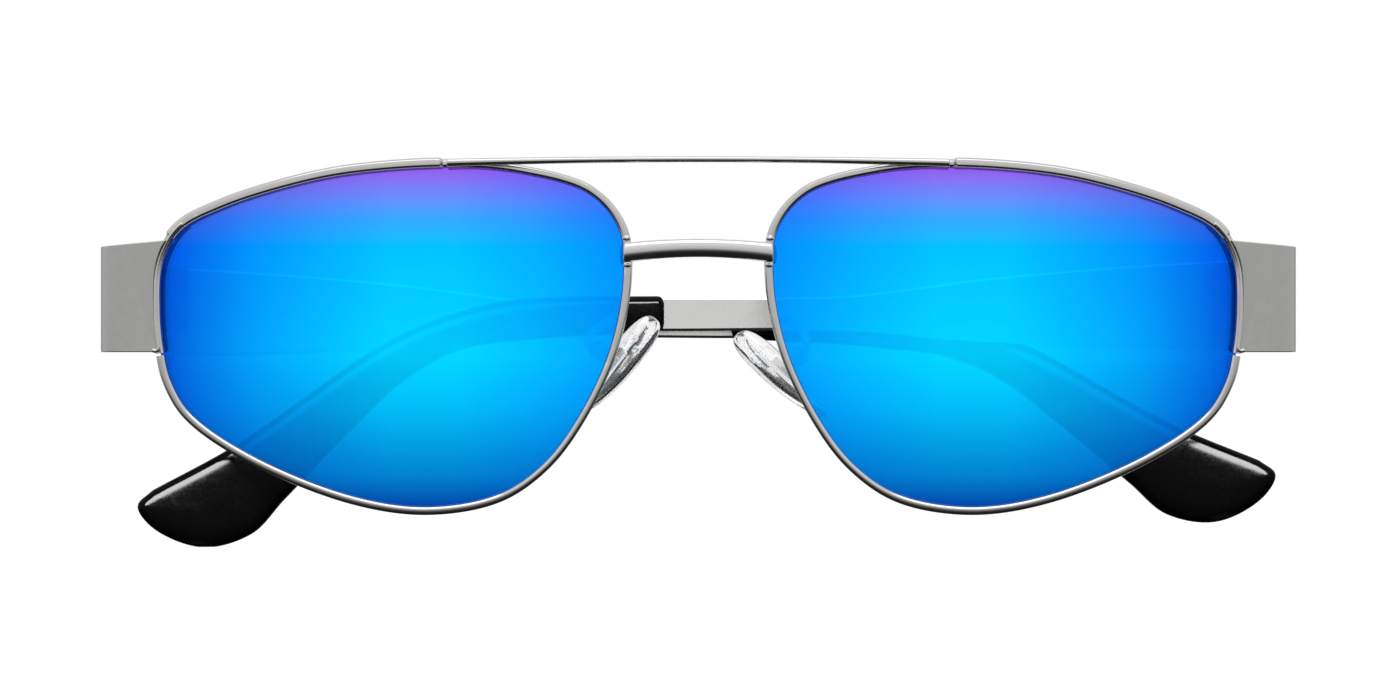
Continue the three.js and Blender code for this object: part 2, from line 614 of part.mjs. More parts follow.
/** Temple of one side, folded about its hinge. */
function addTemple(side, group) {
  const { name, fold } = side;
  const temple = new THREE.Group();
  temple.position.set(HINGE_X, HINGE_Y, 0);
  temple.rotation.z = radians(fold);
  group.add(temple);
  piece(`temple_bar_${name}`, templeBar(side), "metal", temple);
  piece(`temple_tip_${name}`, templeTip(side), "plastic", temple);
  piece(`hinge_temple_${name}`, hingeTemple(), "hardware", temple);
}

const glasses = new THREE.Group();
piece("brow_bar", browBar(), "metal", glasses);
piece("nose_bridge", noseBridge(), "polished", glasses);
for (const side of SIDES) {
  const group = new THREE.Group();
  group.scale.x = side.mirror;
  glasses.add(group);
  addFront(side, group);
  addPad(side, group);
  addTemple(side, group);
}

const extent = new THREE.Box3().setFromObject(glasses, true);
const middle = extent.getCenter(v3(0, 0, 0));
glasses.position.set(-middle.x, -middle.y, -extent.min.z);

export default glasses;
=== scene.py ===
import bisect
import json
import math
import random

import bmesh
import bpy
from mathutils import Matrix, Vector
from mathutils.kdtree import KDTree

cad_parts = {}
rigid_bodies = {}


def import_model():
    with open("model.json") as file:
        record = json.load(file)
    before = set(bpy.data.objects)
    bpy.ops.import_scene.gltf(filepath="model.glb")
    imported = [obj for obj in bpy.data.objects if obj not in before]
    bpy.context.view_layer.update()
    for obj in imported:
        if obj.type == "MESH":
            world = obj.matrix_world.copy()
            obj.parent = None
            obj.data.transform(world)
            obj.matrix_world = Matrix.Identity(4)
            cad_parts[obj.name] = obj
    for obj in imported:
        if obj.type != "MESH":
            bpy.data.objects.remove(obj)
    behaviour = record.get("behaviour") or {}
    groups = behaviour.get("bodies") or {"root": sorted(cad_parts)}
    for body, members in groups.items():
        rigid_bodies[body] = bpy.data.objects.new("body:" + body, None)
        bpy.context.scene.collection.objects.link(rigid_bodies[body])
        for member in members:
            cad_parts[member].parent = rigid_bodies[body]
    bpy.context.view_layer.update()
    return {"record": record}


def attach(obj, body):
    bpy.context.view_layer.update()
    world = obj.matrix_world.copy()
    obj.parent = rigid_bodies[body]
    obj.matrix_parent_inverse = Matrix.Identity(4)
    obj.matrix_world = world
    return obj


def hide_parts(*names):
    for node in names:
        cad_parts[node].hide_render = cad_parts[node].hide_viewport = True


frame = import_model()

# Aviator sunglasses. Shapes are drawn in millimetres in the drawing frame of the front: x from the mirror
# plane, y back from the bridge, z up from the lens centres. Paired pieces are drawn for the right side.
# "to_row" puts a drawing in the row frame, mirrored for the left side.
MM = 0.001

# ---- sizes of the front ----
LENS_CENTRE_X = 36.8
NOSE_EDGE_X = 9.0
WRAP = math.tan(math.radians(5))
LENS_RADIUS = 130.0
LENS_HALF_THICKNESS = 0.75
RIM_HALF_DEPTH = 1.05
RIM_SPLIT = 0.3
BRAZE_GAP = 0.12
BROW_HALF_SPAN = 30.05
BRIDGE_HALF_SPAN = 8.95

# ---- sizes of the end pieces and hinges ----
OUTER_X = 72.05
WALL = 1.3
END_PIECE_BOTTOM = -1.7
END_PIECE_TOP_INNER = 11.75
END_PIECE_TOP_OUTER = 11.05
HINGE_X = OUTER_X - 2.7
HINGE_Y = 16.0
HINGE_SCREW_TOP = 8.6
HINGE_GAP = 0.35
BARREL_RADIUS = 1.3
BARREL_HOLE = 0.71
BARREL_FLOORS = (0.6, 3.1, 6.1)
BARREL_TOPS = (3.0, 6.0, 8.5)
LEAF_THICKNESS = 0.9
LOCK_X = 64.05
LOCK_Y = 10.2
LOCK_INNER_X = 63.1
LOCK_UPPER_TOP = 0.3
LOCK_LOWER_FLOOR = -3.3
LOCK_LOWER_REACH = 65.0

# ---- sizes of the temples ----
TEMPLE_MIDDLE = OUTER_X - HINGE_X - WALL / 2
TIP_START = 73.5
TIP_HALF_THICKNESS = 1.5
TIP_CURVE_START = 60.0
TIP_CURVE_IN = 3.0
TIP_LENGTH = 137.3
TIP_PIVOT = Vector((96.0, 1.6))

# ---- sizes of the nose pads ----
PAD_HALF_LENGTH = 7.3
PAD_HALF_WIDTH = 4.1
PAD_HALF_THICKNESS = 1.3
PAD_TAPER = 0.16
PAD_TOP_ROUNDNESS = 2.7
PAD_BOTTOM_ROUNDNESS = 1.8
PAD_CENTRE = Vector((9.75, 9.2, -3.3))
PAD_LEAN = math.radians(39)
PAD_SPLAY = math.radians(28)
PAD_SCREW_DEPTH = 2.8
PAD_ARM_RADIUS = 0.5

# ---- how this pair sits: the right temple is folded first, and the left one lies behind it ----
SIDES = (
    {
        "name": "right", "mirror": 1, "fold": 91, "drop": 0.0, "unbend": 0.0, "reach": 0.0,
        "pad_set": -9, "pad_drop": 0.8,
    },
    {
        "name": "left", "mirror": -1, "fold": 87.5, "drop": 0.85, "unbend": 6.1, "reach": 0.55,
        "pad_set": 0, "pad_drop": 0.0,
    },
)

joints = {joint["name"]: joint for joint in frame["record"]["behaviour"]["joints"]}
hinge_place = Vector(joints["temple_right_hinge"]["pos_m"])
ORIGIN = hinge_place - Vector((HINGE_X, HINGE_Y, HINGE_SCREW_TOP)) * MM


# ======== frames ========

def to_row(side):
    """From the drawing frame to the row frame, mirrored for the left side."""
    return Matrix.Translation(ORIGIN) @ Matrix.Diagonal((side["mirror"] * MM, MM, MM, 1))


CENTRE_TO_ROW = to_row(SIDES[0])


def temple_to_row(side):
    """From a temple drawn open, about its hinge axis, to the row frame with the temple folded."""
    hinge = Matrix.Translation((HINGE_X, HINGE_Y, 0))
    return to_row(side) @ hinge @ Matrix.Rotation(math.radians(side["fold"]), 4, "Z")


def pad_frame(side):
    """From a pad's own frame (x up along it, y across, z towards the nose) to the drawing frame."""
    up = Vector((-math.sin(PAD_LEAN), 0, math.cos(PAD_LEAN)))
    across = Vector((math.sin(PAD_SPLAY), math.cos(PAD_SPLAY), 0))
    across = (across - up * across.dot(up)).normalized()
    to_nose = up.cross(across)
    turned = Matrix((up, across, to_nose)).transposed().to_4x4()
    centre = PAD_CENTRE - Vector((0, 0, side["pad_drop"]))
    screw = Matrix.Translation((0, 0, -PAD_SCREW_DEPTH))
    rocked = Matrix.Rotation(math.radians(side["pad_set"]), 4, "Y")
    return Matrix.Translation(centre) @ turned @ screw @ rocked @ screw.inverted()


# ======== curves ========

def smooth_step(value, low, high):
    """0 below low, 1 above high, with a smooth rise between."""
    t = min(1.0, max(0.0, (value - low) / (high - low)))
    return t * t * (3 - 2 * t)


def spline(points, closed=False, steps=24):
    """Close points along a centripetal Catmull-Rom curve through the given ones."""
    given = [Vector(p) for p in points]
    count = len(given)
    dense = []
    for i in range(count if closed else count - 1):
        b, c = given[i], given[(i + 1) % count]
        a = given[i - 1] if closed or i > 0 else b * 2 - c
        d = given[(i + 2) % count] if closed or i < count - 2 else c * 2 - b
        before, span, after = (math.sqrt((q - p).length) for p, q in ((a, b), (b, c), (c, d)))
        leave = ((b - a) / before - (c - a) / (before + span) + (c - b) / span) * span
        arrive = ((c - b) / span - (d - b) / (span + after) + (d - c) / after) * span
        for k in range(steps):
            t = k / steps
            start = b * (2 * t ** 3 - 3 * t ** 2 + 1) + leave * (t ** 3 - 2 * t ** 2 + t)
            dense.append(start + c * (3 * t ** 2 - 2 * t ** 3) + arrive * (t ** 3 - t ** 2))
    dense.append(given[0] if closed else given[-1])
    return dense


def lengths(dense):
    """Distance along a line of points, at each of them."""
    total = [0.0]
    for a, b in zip(dense, dense[1:]):
        total.append(total[-1] + (b - a).length)
    return total


def evenly(dense, count, first=0.0, last=1.0):
    """count points at equal steps along a line, from one share of its length to another."""
    total = lengths(dense)
    found = []
    for i in range(count):
        mark = total[-1] * (first + (last - first) * i / (count - 1))
        k = min(len(dense) - 2, max(0, bisect.bisect_right(total, mark) - 1))
        share = (mark - total[k]) / (total[k + 1] - total[k])
        found.append(dense[k].lerp(dense[k + 1], share))
    return found


def bend(start, corner, end, steps):
    """Points of a smooth bend that leaves start towards a corner and arrives at end."""
    shares = [k / steps for k in range(steps + 1)]
    return [start * (1 - t) ** 2 + corner * 2 * t * (1 - t) + end * t ** 2 for t in shares]


def rounded(corners, radius, steps=4):
    """A closed outline with each corner replaced by an arc."""
    outline = []
    count = len(corners)
    for i in range(count):
        before, here, after = (Vector(corners[(i + k) % count]) for k in (-1, 0, 1))
        reach = min(radius, 0.45 * (before - here).length, 0.45 * (after - here).length)
        start = here + (before - here).normalized() * reach
        end = here + (after - here).normalized() * reach
        outline += bend(start, here, end, steps)
    return outline


# ======== shapes: (points, faces) ========

def loft(rings, ring_closed=True, path_closed=False, caps=True):
    """Faces through rings of equal size, with flat caps on the first and the last ring."""
    size = len(rings[0])
    points = [Vector(p) for ring in rings for p in ring]
    faces = []
    for i in range(len(rings) - (0 if path_closed else 1)):
        here, there = i * size, ((i + 1) % len(rings)) * size
        for j in range(size if ring_closed else size - 1):
            k = (j + 1) % size
            faces.append((here + j, there + j, there + k, here + k))
    if caps and not path_closed:
        last = (len(rings) - 1) * size
        faces.append(tuple(range(size)))
        faces.append(tuple(last + j for j in reversed(range(size))))
    return points, faces


def moved(shape, matrix):
    """A shape after a change of place."""
    return [matrix @ Vector(p) for p in shape[0]], shape[1]


def block(low, high, radius=0.15):
    """A block between two corners, its upright edges rounded."""
    corners = [(low[0], low[1]), (high[0], low[1]), (high[0], high[1]), (low[0], high[1])]
    outline = rounded(corners, radius, 3)
    chamfer = min(radius, 0.3 * (high[2] - low[2])) * 0.6
    narrowest = 0.4
    middle = Vector(((low[0] + high[0]) / 2, (low[1] + high[1]) / 2))
    rings = []
    levels = ((low[2], chamfer), (low[2] + chamfer, 0), (high[2] - chamfer, 0), (high[2], chamfer))
    for height, pulled_in in levels:
        ring = []
        for p in outline:
            away = p - middle
            size = Vector((abs(away.x), abs(away.y)))
            ring.append(Vector((
                middle.x + away.x * (1 - pulled_in / max(size.x, narrowest)),
                middle.y + away.y * (1 - pulled_in / max(size.y, narrowest)),
                height,
            )))
        rings.append(ring)
    return loft(rings)


def turned(profile, segments=40, closed=False):
    """A body turned about the z axis from its (radius, height) profile."""
    rings = []
    for i in range(segments):
        angle = 2 * math.pi * i / segments
        rings.append([(r * math.cos(angle), r * math.sin(angle), h) for r, h in profile])
    points, faces = loft(rings, ring_closed=closed, path_closed=True)
    if not closed:
        size = len(profile)
        faces.append(tuple(i * size for i in range(segments)))
        faces.append(tuple(i * size + size - 1 for i in reversed(range(segments))))
    return points, faces


def swept(line, radius, segments=16, ends=3):
    """A round wire along a line of points, with domed ends."""
    line = [Vector(p) for p in line]
    last = len(line) - 1
    along = [(line[min(i + 1, last)] - line[max(i - 1, 0)]).normalized() for i in range(last + 1)]
    side = along[0].orthogonal().normalized()
    rings = []
    places = [(p, a, radius) for p, a in zip(line, along)]
    angles = [math.pi / 2 * (k + 0.5) / (ends + 0.5) for k in range(ends, 0, -1)]
    dome = [(math.cos(angle), math.sin(angle) * 0.5) for angle in angles]
    head = [(line[0] - along[0] * radius * out, along[0], radius * wide) for wide, out in dome]
    tail = [(line[-1] + along[-1] * radius * out, along[-1], radius * wide) for wide, out in reversed(dome)]
    for place, direction, size in head + places + tail:
        side = (side - direction * side.dot(direction)).normalized()
        other = direction.cross(side)
        ring = []
        for j in range(segments):
            angle = 2 * math.pi * j / segments
            ring.append(place + (side * math.cos(angle) + other * math.sin(angle)) * size)
        rings.append(ring)
    return loft(rings)


def plain_object(shape):
    """A bare object of a shape, for joining and cutting."""
    mesh = bpy.data.meshes.new("working")
    bm = bmesh.new()
    corners = [bm.verts.new(p) for p in shape[0]]
    for face in shape[1]:
        bm.faces.new([corners[i] for i in face])
    bmesh.ops.recalc_face_normals(bm, faces=bm.faces)
    bm.to_mesh(mesh)
    bm.free()
    made = bpy.data.objects.new("working", mesh)
    bpy.context.scene.collection.objects.link(made)
    return made


def combined(shape, tool, operation):
    """A shape joined with (UNION), cut by (DIFFERENCE) or kept inside (INTERSECT) another."""
    base, other = plain_object(shape), plain_object(tool)
    modifier = base.modifiers.new("combine", "BOOLEAN")
    modifier.operation = operation
    modifier.solver = "EXACT"
    modifier.object = other
    graph = bpy.context.evaluated_depsgraph_get()
    mesh = bpy.data.meshes.new_from_object(base.evaluated_get(graph))
    result = [v.co.copy() for v in mesh.vertices], [tuple(p.vertices) for p in mesh.polygons]
    for used in (base, other):
        spare = used.data
        bpy.data.objects.remove(used)
        bpy.data.meshes.remove(spare)
    bpy.data.meshes.remove(mesh)
    return result


# ======== pieces ========

def piece(name, shape, matrix, body, material, replaced=(), bevel=0.0, crease=40, inner=()):
    """A finished piece of the object, riding on a body. Bevel is in millimetres, crease in degrees."""
    mesh = bpy.data.meshes.new(name)
    bm = bmesh.new()
    corners = [bm.verts.new(matrix @ Vector(p)) for p in shape[0]]
    for face in shape[1]:
        bm.faces.new([corners[i] for i in face])
    bmesh.ops.recalc_face_normals(bm, faces=bm.faces)
    for hollow in inner:
        corners = [bm.verts.new(matrix @ Vector(p)) for p in hollow[0]]
        made = [bm.faces.new([corners[i] for i in face]) for face in hollow[1]]
        bmesh.ops.recalc_face_normals(bm, faces=made)
        bmesh.ops.reverse_faces(bm, faces=made)
    bm.to_mesh(mesh)
    bm.free()
    mesh.shade_smooth()
    mesh.set_sharp_from_angle(angle=math.radians(crease))
    made = bpy.data.objects.new(name, mesh)
    bpy.context.scene.collection.objects.link(made)
    mesh.materials.append(material)
    if bevel:
        edge = made.modifiers.new("edges", "BEVEL")
        edge.width = bevel * MM
        edge.segments = 3
        edge.limit_method = "ANGLE"
        edge.angle_limit = math.radians(crease)
        edge.harden_normals = False
    weighted = made.modifiers.new("even shading", "WEIGHTED_NORMAL")
    weighted.keep_sharp = True
    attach(made, body)
    if replaced:
        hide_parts(*replaced)
    return made


# ======== shader groups ========

def new_group(name, inputs, outputs):
    """A shader node group with named sockets, and its input and output nodes."""
    group = bpy.data.node_groups.new(name, "ShaderNodeTree")
    for socket, kind, value in inputs:
        made = group.interface.new_socket(socket, in_out="INPUT", socket_type=kind)
        if value is not None:
            made.default_value = value
    for socket, kind in outputs:
        group.interface.new_socket(socket, in_out="OUTPUT", socket_type=kind)
    return group, group.nodes.new("NodeGroupInput"), group.nodes.new("NodeGroupOutput")


def node(tree, kind, values=None, **settings):
    """A node of a tree with its settings and socket values."""
    made = tree.nodes.new(kind)
    for key, value in settings.items():
        setattr(made, key, value)
    for key, value in (values or {}).items():
        made.inputs[key].default_value = value
    return made


def wire(tree, *links):
    """Links in a tree, each given as (from node, its output, to node, its input)."""
    for source, output, target, socket in links:
        tree.links.new(source.outputs[output], target.inputs[socket])


def grain_group():
    """Fine grain, drawn out along the directions in which Stretch is small, in grains per metre."""
    group, given, made = new_group(
        "fine grain",
        [
            ("Stretch", "NodeSocketVector", (1, 1, 1)),
            ("Scale", "NodeSocketFloat", 4000),
            ("Low", "NodeSocketFloat", 0.3),
            ("High", "NodeSocketFloat", 0.4),
        ],
        [("Value", "NodeSocketFloat"), ("Height", "NodeSocketFloat")],
    )
    place = node(group, "ShaderNodeTexCoord")
    stretch = node(group, "ShaderNodeVectorMath", operation="MULTIPLY")
    noise = node(group, "ShaderNodeTexNoise", {"Detail": 3.0, "Roughness": 0.6})
    spread = node(group, "ShaderNodeMapRange", {"From Min": 0.3, "From Max": 0.7})
    wire(
        group,
        (place, "Object", stretch, 0), (given, "Stretch", stretch, 1), (stretch, "Vector", noise, "Vector"),
        (given, "Scale", noise, "Scale"), (noise, "Fac", spread, "Value"),
        (given, "Low", spread, "To Min"), (given, "High", spread, "To Max"),
        (spread, "Result", made, "Value"), (noise, "Fac", made, "Height"),
    )
    return group


def edge_group():
    """Mask of the edges that handling has polished, from the curvature of the surface."""
    group, given, made = new_group(
        "polished edges",
        [("Start", "NodeSocketFloat", 0.52), ("Full", "NodeSocketFloat", 0.62)],
        [("Mask", "NodeSocketFloat")],
    )
    shape = node(group, "ShaderNodeNewGeometry")
    place = node(group, "ShaderNodeTexCoord")
    broken = node(group, "ShaderNodeTexNoise", {"Scale": 900.0, "Detail": 2.0})
    spread = node(group, "ShaderNodeMapRange")
    wear = node(
        group, "ShaderNodeMapRange", {"From Min": 0.35, "From Max": 0.6, "To Min": 0.6, "To Max": 1.0},
    )
    both = node(group, "ShaderNodeMath", operation="MULTIPLY")
    wire(
        group,
        (shape, "Pointiness", spread, "Value"), (given, "Start", spread, "From Min"),
        (given, "Full", spread, "From Max"), (place, "Object", broken, "Vector"),
        (broken, "Fac", wear, "Value"), (spread, "Result", both, 0), (wear, "Result", both, 1),
        (both, "Value", made, "Mask"),
    )
    return group


def handling_group():
    """Mask of faint wipe marks and finger marks, a few millimetres across."""
    group, given, made = new_group(
        "wipe marks",
        [("Scale", "NodeSocketFloat", 120), ("Amount", "NodeSocketFloat", 0.1)],
        [("Mask", "NodeSocketFloat")],
    )
    place = node(group, "ShaderNodeTexCoord")
    noise = node(group, "ShaderNodeTexNoise", {"Detail": 4.0, "Distortion": 1.4})
    spread = node(group, "ShaderNodeMapRange", {"From Min": 0.5, "From Max": 0.75})
    scaled = node(group, "ShaderNodeMath", operation="MULTIPLY")
    wire(
        group,
        (place, "Object", noise, "Vector"), (given, "Scale", noise, "Scale"), (noise, "Fac", spread, "Value"),
        (spread, "Result", scaled, 0), (given, "Amount", scaled, 1), (scaled, "Value", made, "Mask"),
    )
    return group


GRAIN = grain_group()
EDGES = edge_group()
HANDLING = handling_group()


# ======== materials ========

def new_material(name, values):
    """A material with a Principled shader set to the values, its tree and the shader."""
    material = bpy.data.materials.new(name)
    material.use_nodes = True
    tree = material.node_tree
    shader = tree.nodes["Principled BSDF"]
    for key, value in values.items():
        shader.inputs[key].default_value = value
    return material, tree, shader


def placed(tree, group, values):
    """A group placed in a material with its own values."""
    return node(tree, "ShaderNodeGroup", values, node_tree=group)


def add_bump(tree, shader, height, strength, distance):
    """Relief from a height output; distance is in millimetres."""
    bump = node(tree, "ShaderNodeBump", {"Strength": strength, "Distance": distance * MM})
    tree.links.new(height, bump.inputs["Height"])
    tree.links.new(bump.outputs["Normal"], shader.inputs["Normal"])


def added(tree, first, second):
    """The sum of two outputs, kept between 0 and 1."""
    total = node(tree, "ShaderNodeMath", operation="ADD", use_clamp=True)
    tree.links.new(first, total.inputs[0])
    tree.links.new(second, total.inputs[1])
    return total.outputs["Value"]


# The colour sockets of a Mix node: its two inputs and its output.
MIX_A, MIX_B, MIX_OUT = 6, 7, 2


def mixed(tree, mask, low, high):
    """A colour between two, by a mask."""
    mix = node(tree, "ShaderNodeMix", data_type="RGBA")
    mix.inputs[MIX_A].default_value = (*low, 1)
    mix.inputs[MIX_B].default_value = (*high, 1)
    tree.links.new(mask, mix.inputs["Factor"])
    return mix.outputs[MIX_OUT]


def metal(name, colour, edge_colour, roughness, stretch, scale, relief):
    """Plated metal: grain along one direction, brighter polished edges and faint handling marks."""
    material, tree, shader = new_material(name, {"Metallic": 1.0})
    low, high = roughness
    grain = placed(tree, GRAIN, {"Stretch": stretch, "Scale": scale, "Low": low, "High": high})
    edges = placed(tree, EDGES, {"Start": 0.51, "Full": 0.6})
    marks = placed(tree, HANDLING, {"Scale": 260.0, "Amount": 0.06})
    tree.links.new(mixed(tree, edges.outputs["Mask"], colour, edge_colour), shader.inputs["Base Color"])
    rough = added(tree, grain.outputs["Value"], marks.outputs["Mask"])
    tree.links.new(rough, shader.inputs["Roughness"])
    add_bump(tree, shader, grain.outputs["Height"], 0.25, relief)
    return material


def ramp(stops_node, stops):
    """Sets the stops of a colour ramp."""
    elements = stops_node.color_ramp.elements
    while len(elements) > 1:
        elements.remove(elements[-1])
    elements[0].position = stops[0][0]
    elements[0].color = (*stops[0][1], 1)
    for position, colour in stops[1:]:
        elements.new(position).color = (*colour, 1)


# Half sizes of the lens area over which the coating colours and the painted reflection are spread.
COATING_HALF_HEIGHT = 20.5
COATING_HALF_WIDTH = 28.0

# The coating's blue with a painted reflection gradient up the lens: its colours, and where each one lies as a
# share of the lens height from the bottom.
DEEP_BLUE = (0.0, 0.08, 0.53)
BLUE = (0.0, 0.3, 0.75)
SKY = (0.0, 0.55, 0.93)
CYAN = (0.0, 0.66, 1.0)
AZURE = (0.0, 0.5, 1.0)
INDIGO = (0.04, 0.37, 0.93)
VIOLET = (0.3, 0.09, 0.73)
COATING_AND_REFLECTION_UP = (
    (0.0, DEEP_BLUE), (0.1, BLUE), (0.3, SKY), (0.45, CYAN), (0.77, AZURE), (0.85, INDIGO), (1.0, VIOLET),
)

# Painted reflection and shade across the lens: how much of each colour is left, and where, as a share of the
# lens width from the nose.
NOSE_SHADE = (0.3, 0.53, 0.97)
FULL = (1.0, 1.0, 1.0)
OUTER_SHADE = (0.75, 0.6, 0.9)
TEMPLE_SHADE = (1.0, 0.14, 0.7)
PAINTED_REFLECTION_ACROSS = (
    (0.0, NOSE_SHADE), (0.2, (0.75, 0.82, 1.0)), (0.36, FULL), (0.5, FULL), (0.78, OUTER_SHADE),
    (1.0, TEMPLE_SHADE),
)


def coating_with_painted_reflection():
    """Blue flash mirror on a tinted lens, with painted reflection in its colour: violet on top, cyan in the
    middle, deep blue at the edges.
    """
    material, tree, shader = new_material(
        "blue mirror lens",
        {
            "Metallic": 0.5, "Transmission Weight": 0.9, "IOR": 1.46,
            "Specular Tint": (0.05, 0.45, 1.0, 1.0), "Specular IOR Level": 0.3,
        },
    )
    place = node(tree, "ShaderNodeTexCoord")
    parts = node(tree, "ShaderNodeSeparateXYZ")
    away = node(tree, "ShaderNodeMath", operation="ABSOLUTE")
    half_height = COATING_HALF_HEIGHT * MM
    height = node(
        tree, "ShaderNodeMapRange", {"From Min": ORIGIN.z - half_height, "From Max": ORIGIN.z + half_height},
    )
    nose_edge = (LENS_CENTRE_X - COATING_HALF_WIDTH) * MM
    temple_edge = (LENS_CENTRE_X + COATING_HALF_WIDTH) * MM
    out = node(tree, "ShaderNodeMapRange", {"From Min": nose_edge, "From Max": temple_edge})
    up = node(tree, "ShaderNodeValToRGB")
    ramp(up, COATING_AND_REFLECTION_UP)
    across = node(tree, "ShaderNodeValToRGB")
    ramp(across, PAINTED_REFLECTION_ACROSS)
    # Painted reflection: the height ramp and the across ramp multiply into the lens colour.
    coating_and_reflection = node(tree, "ShaderNodeMix", {"Factor": 1.0}, data_type="RGBA", blend_type="MULTIPLY")
    wire(
        tree,
        (place, "Object", parts, "Vector"), (parts, "Z", height, "Value"), (height, "Result", up, "Fac"),
        (parts, "X", away, 0), (away, "Value", out, "Value"), (out, "Result", across, "Fac"),
        (up, "Color", coating_and_reflection, MIX_A), (across, "Color", coating_and_reflection, MIX_B), (coating_and_reflection, MIX_OUT, shader, "Base Color"),
    )
    marks = placed(tree, HANDLING, {"Scale": 90.0, "Amount": 0.02})
    grain = placed(tree, GRAIN, {"Scale": 700.0, "Low": 0.02, "High": 0.035})
    tree.links.new(added(tree, grain.outputs["Value"], marks.outputs["Mask"]), shader.inputs["Roughness"])
    return material


def black_plastic():
    """Black moulded plastic, polished, with faint swirl and wipe marks."""
    material, tree, shader = new_material(
        "polished black plastic",
        {"Specular IOR Level": 0.05},
    )
    grain = placed(tree, GRAIN, {"Scale": 2500.0, "Low": 0.08, "High": 0.13})
    marks = placed(tree, HANDLING, {"Scale": 180.0, "Amount": 0.04})
    tree.links.new(added(tree, grain.outputs["Value"], marks.outputs["Mask"]), shader.inputs["Roughness"])
    colour = mixed(tree, grain.outputs["Height"], (0.0, 0.0, 0.0), (0.0003, 0.0003, 0.0004))
    tree.links.new(colour, shader.inputs["Base Color"])
    add_bump(tree, shader, marks.outputs["Mask"], 0.1, 0.02)
    return material


def clear_silicone():
    """Clear silicone, slightly uneven, with a smooth gloss."""
    material, tree, shader = new_material(
        "clear silicone",
        {"Transmission Weight": 0.98, "IOR": 1.41, "Metallic": 0.0},
    )
    grain = placed(tree, GRAIN, {"Scale": 1500.0, "Low": 0.0, "High": 0.02})
    marks = placed(tree, HANDLING, {"Scale": 400.0, "Amount": 0.12})
    tree.links.new(added(tree, grain.outputs["Value"], marks.outputs["Mask"]), shader.inputs["Roughness"])
    colour = mixed(tree, marks.outputs["Mask"], (1.0, 1.0, 1.0), (0.95, 0.96, 0.965))
    tree.links.new(colour, shader.inputs["Base Color"])
    add_bump(tree, shader, grain.outputs["Height"], 0.15, 0.03)
    return material


BRIGHT_SATIN = metal(
    "bright satin", colour=(0.84, 0.835, 0.82), edge_colour=(0.88, 0.88, 0.87),
    roughness=(0.2, 0.25), stretch=(1, 1, 0.05), scale=9000, relief=0.0025,
)
SATIN = metal(
    "satin gunmetal", colour=(0.45, 0.445, 0.435), edge_colour=(0.58, 0.575, 0.57),
    roughness=(0.24, 0.28), stretch=(1, 1, 0.05), scale=9000, relief=0.0025,
)
RIM_METAL = metal(
    "bright rim", colour=(0.52, 0.515, 0.505), edge_colour=(0.66, 0.66, 0.65),
    roughness=(0.1, 0.15), stretch=(0.3, 1, 0.3), scale=7000, relief=0.003,
)
POLISHED = metal(
    "polished metal", colour=(0.6, 0.6, 0.595), edge_colour=(0.7, 0.7, 0.7),
    roughness=(0.06, 0.1), stretch=(0.15, 1, 1), scale=6000, relief=0.004,
)
HARDWARE = metal(
    "bright hardware", colour=(0.5, 0.5, 0.495), edge_colour=(0.65, 0.65, 0.64),
    roughness=(0.16, 0.24), stretch=(1, 1, 0.2), scale=9000, relief=0.008,
)
MIRROR = coating_with_painted_reflection()
PLASTIC = black_plastic()
SILICONE = clear_silicone()


# ======== front ========

def sag(x, z):
    """Depth of the front's middle surface: a dome for each lens, wrapped back at the sides."""
    u = x - LENS_CENTRE_X
    return (x - NOSE_EDGE_X) * WRAP + (u * u + z * z) / (2 * LENS_RADIUS)


# Lens edge from the front, about the lens centre, starting at the rim's split on the temple side.
LENS_EDGE = (
    (27.45, -1.9), (26.7, -5.0), (24.4, -8.9), (17.6, -13.7), (4.9, -18.9), (-4.5, -20.25), (-13.0, -18.7),
    (-18.25, -15.15), (-22.3, -9.85), (-26.2, -1.65), (-27.85, 6.6), (-27.4, 12.9), (-23.85, 17.25),
    (-15.5, 19.75), (-7.6, 20.45), (4.9, 19.65), (12.7, 18.05), (20.6, 15.5), (25.4, 12.95), (27.6, 9.1),
    (27.95, 3.0),
)
edge_line = spline(LENS_EDGE, closed=True)
edge_length = lengths(edge_line)[-1]


def edge_samples(first, last, count):
    """Points of the lens edge with their outward directions, between two shares of its length."""
    points = evenly(edge_line, count, first, last)
    step = 0.002
    samples = []
    for i, p in enumerate(points):
        share = first + (last - first) * i / (count - 1)
        before, after = evenly(edge_line, 2, (share - step) % 1, (share + step) % 1)
        along = (after - before).normalized()
        samples.append((p.x + LENS_CENTRE_X, p.y, -along.y, along.x))
    return samples


def beside(sample, out, back):
    """A point beside the lens edge: outwards by out, behind the middle surface by back."""
    x, z, out_x, out_z = sample
    px, pz = x + out_x * out, z + out_z * out
    return Vector((px, sag(px, pz) + back, pz))


def rim_section(sample):
    """Section of the eyewire, (out, back): flat face, bevelled corners and a groove for the lens."""
    x, z, out_x, _ = sample
    upper_outer = smooth_step(x, 30.5, 30.8) * smooth_step(z, 11.9, 12.1)
    lower_nose = smooth_step(-out_x, 0.2, 0.8) * smooth_step(-z, -8, 6)
    width = 0.95 + 0.2 * upper_outer - 0.12 * lower_nose
    face = -RIM_HALF_DEPTH - 0.75 * upper_outer
    bevel = 0.24
    corners = [
        (0.02, face + 0.22), (bevel, face), (width - bevel, face), (width, face + 0.3),
        (width, RIM_HALF_DEPTH - 0.3), (width - 0.3, RIM_HALF_DEPTH), (0.25, RIM_HALF_DEPTH - 0.03),
        (0, 0.85), (0, 0.62), (0.62, 0), (0, -0.62), (0, -0.8),
    ]
    return rounded(corners, 0.09, 2)


def rim_shape():
    """Eyewire of one lens, split at its lock."""
    half_split = RIM_SPLIT / 2 / edge_length
    rings = []
    for sample in edge_samples(half_split, 1 - half_split, 420):
        rings.append([beside(sample, p.x, p.y) for p in rim_section(sample)])
    return loft(rings)


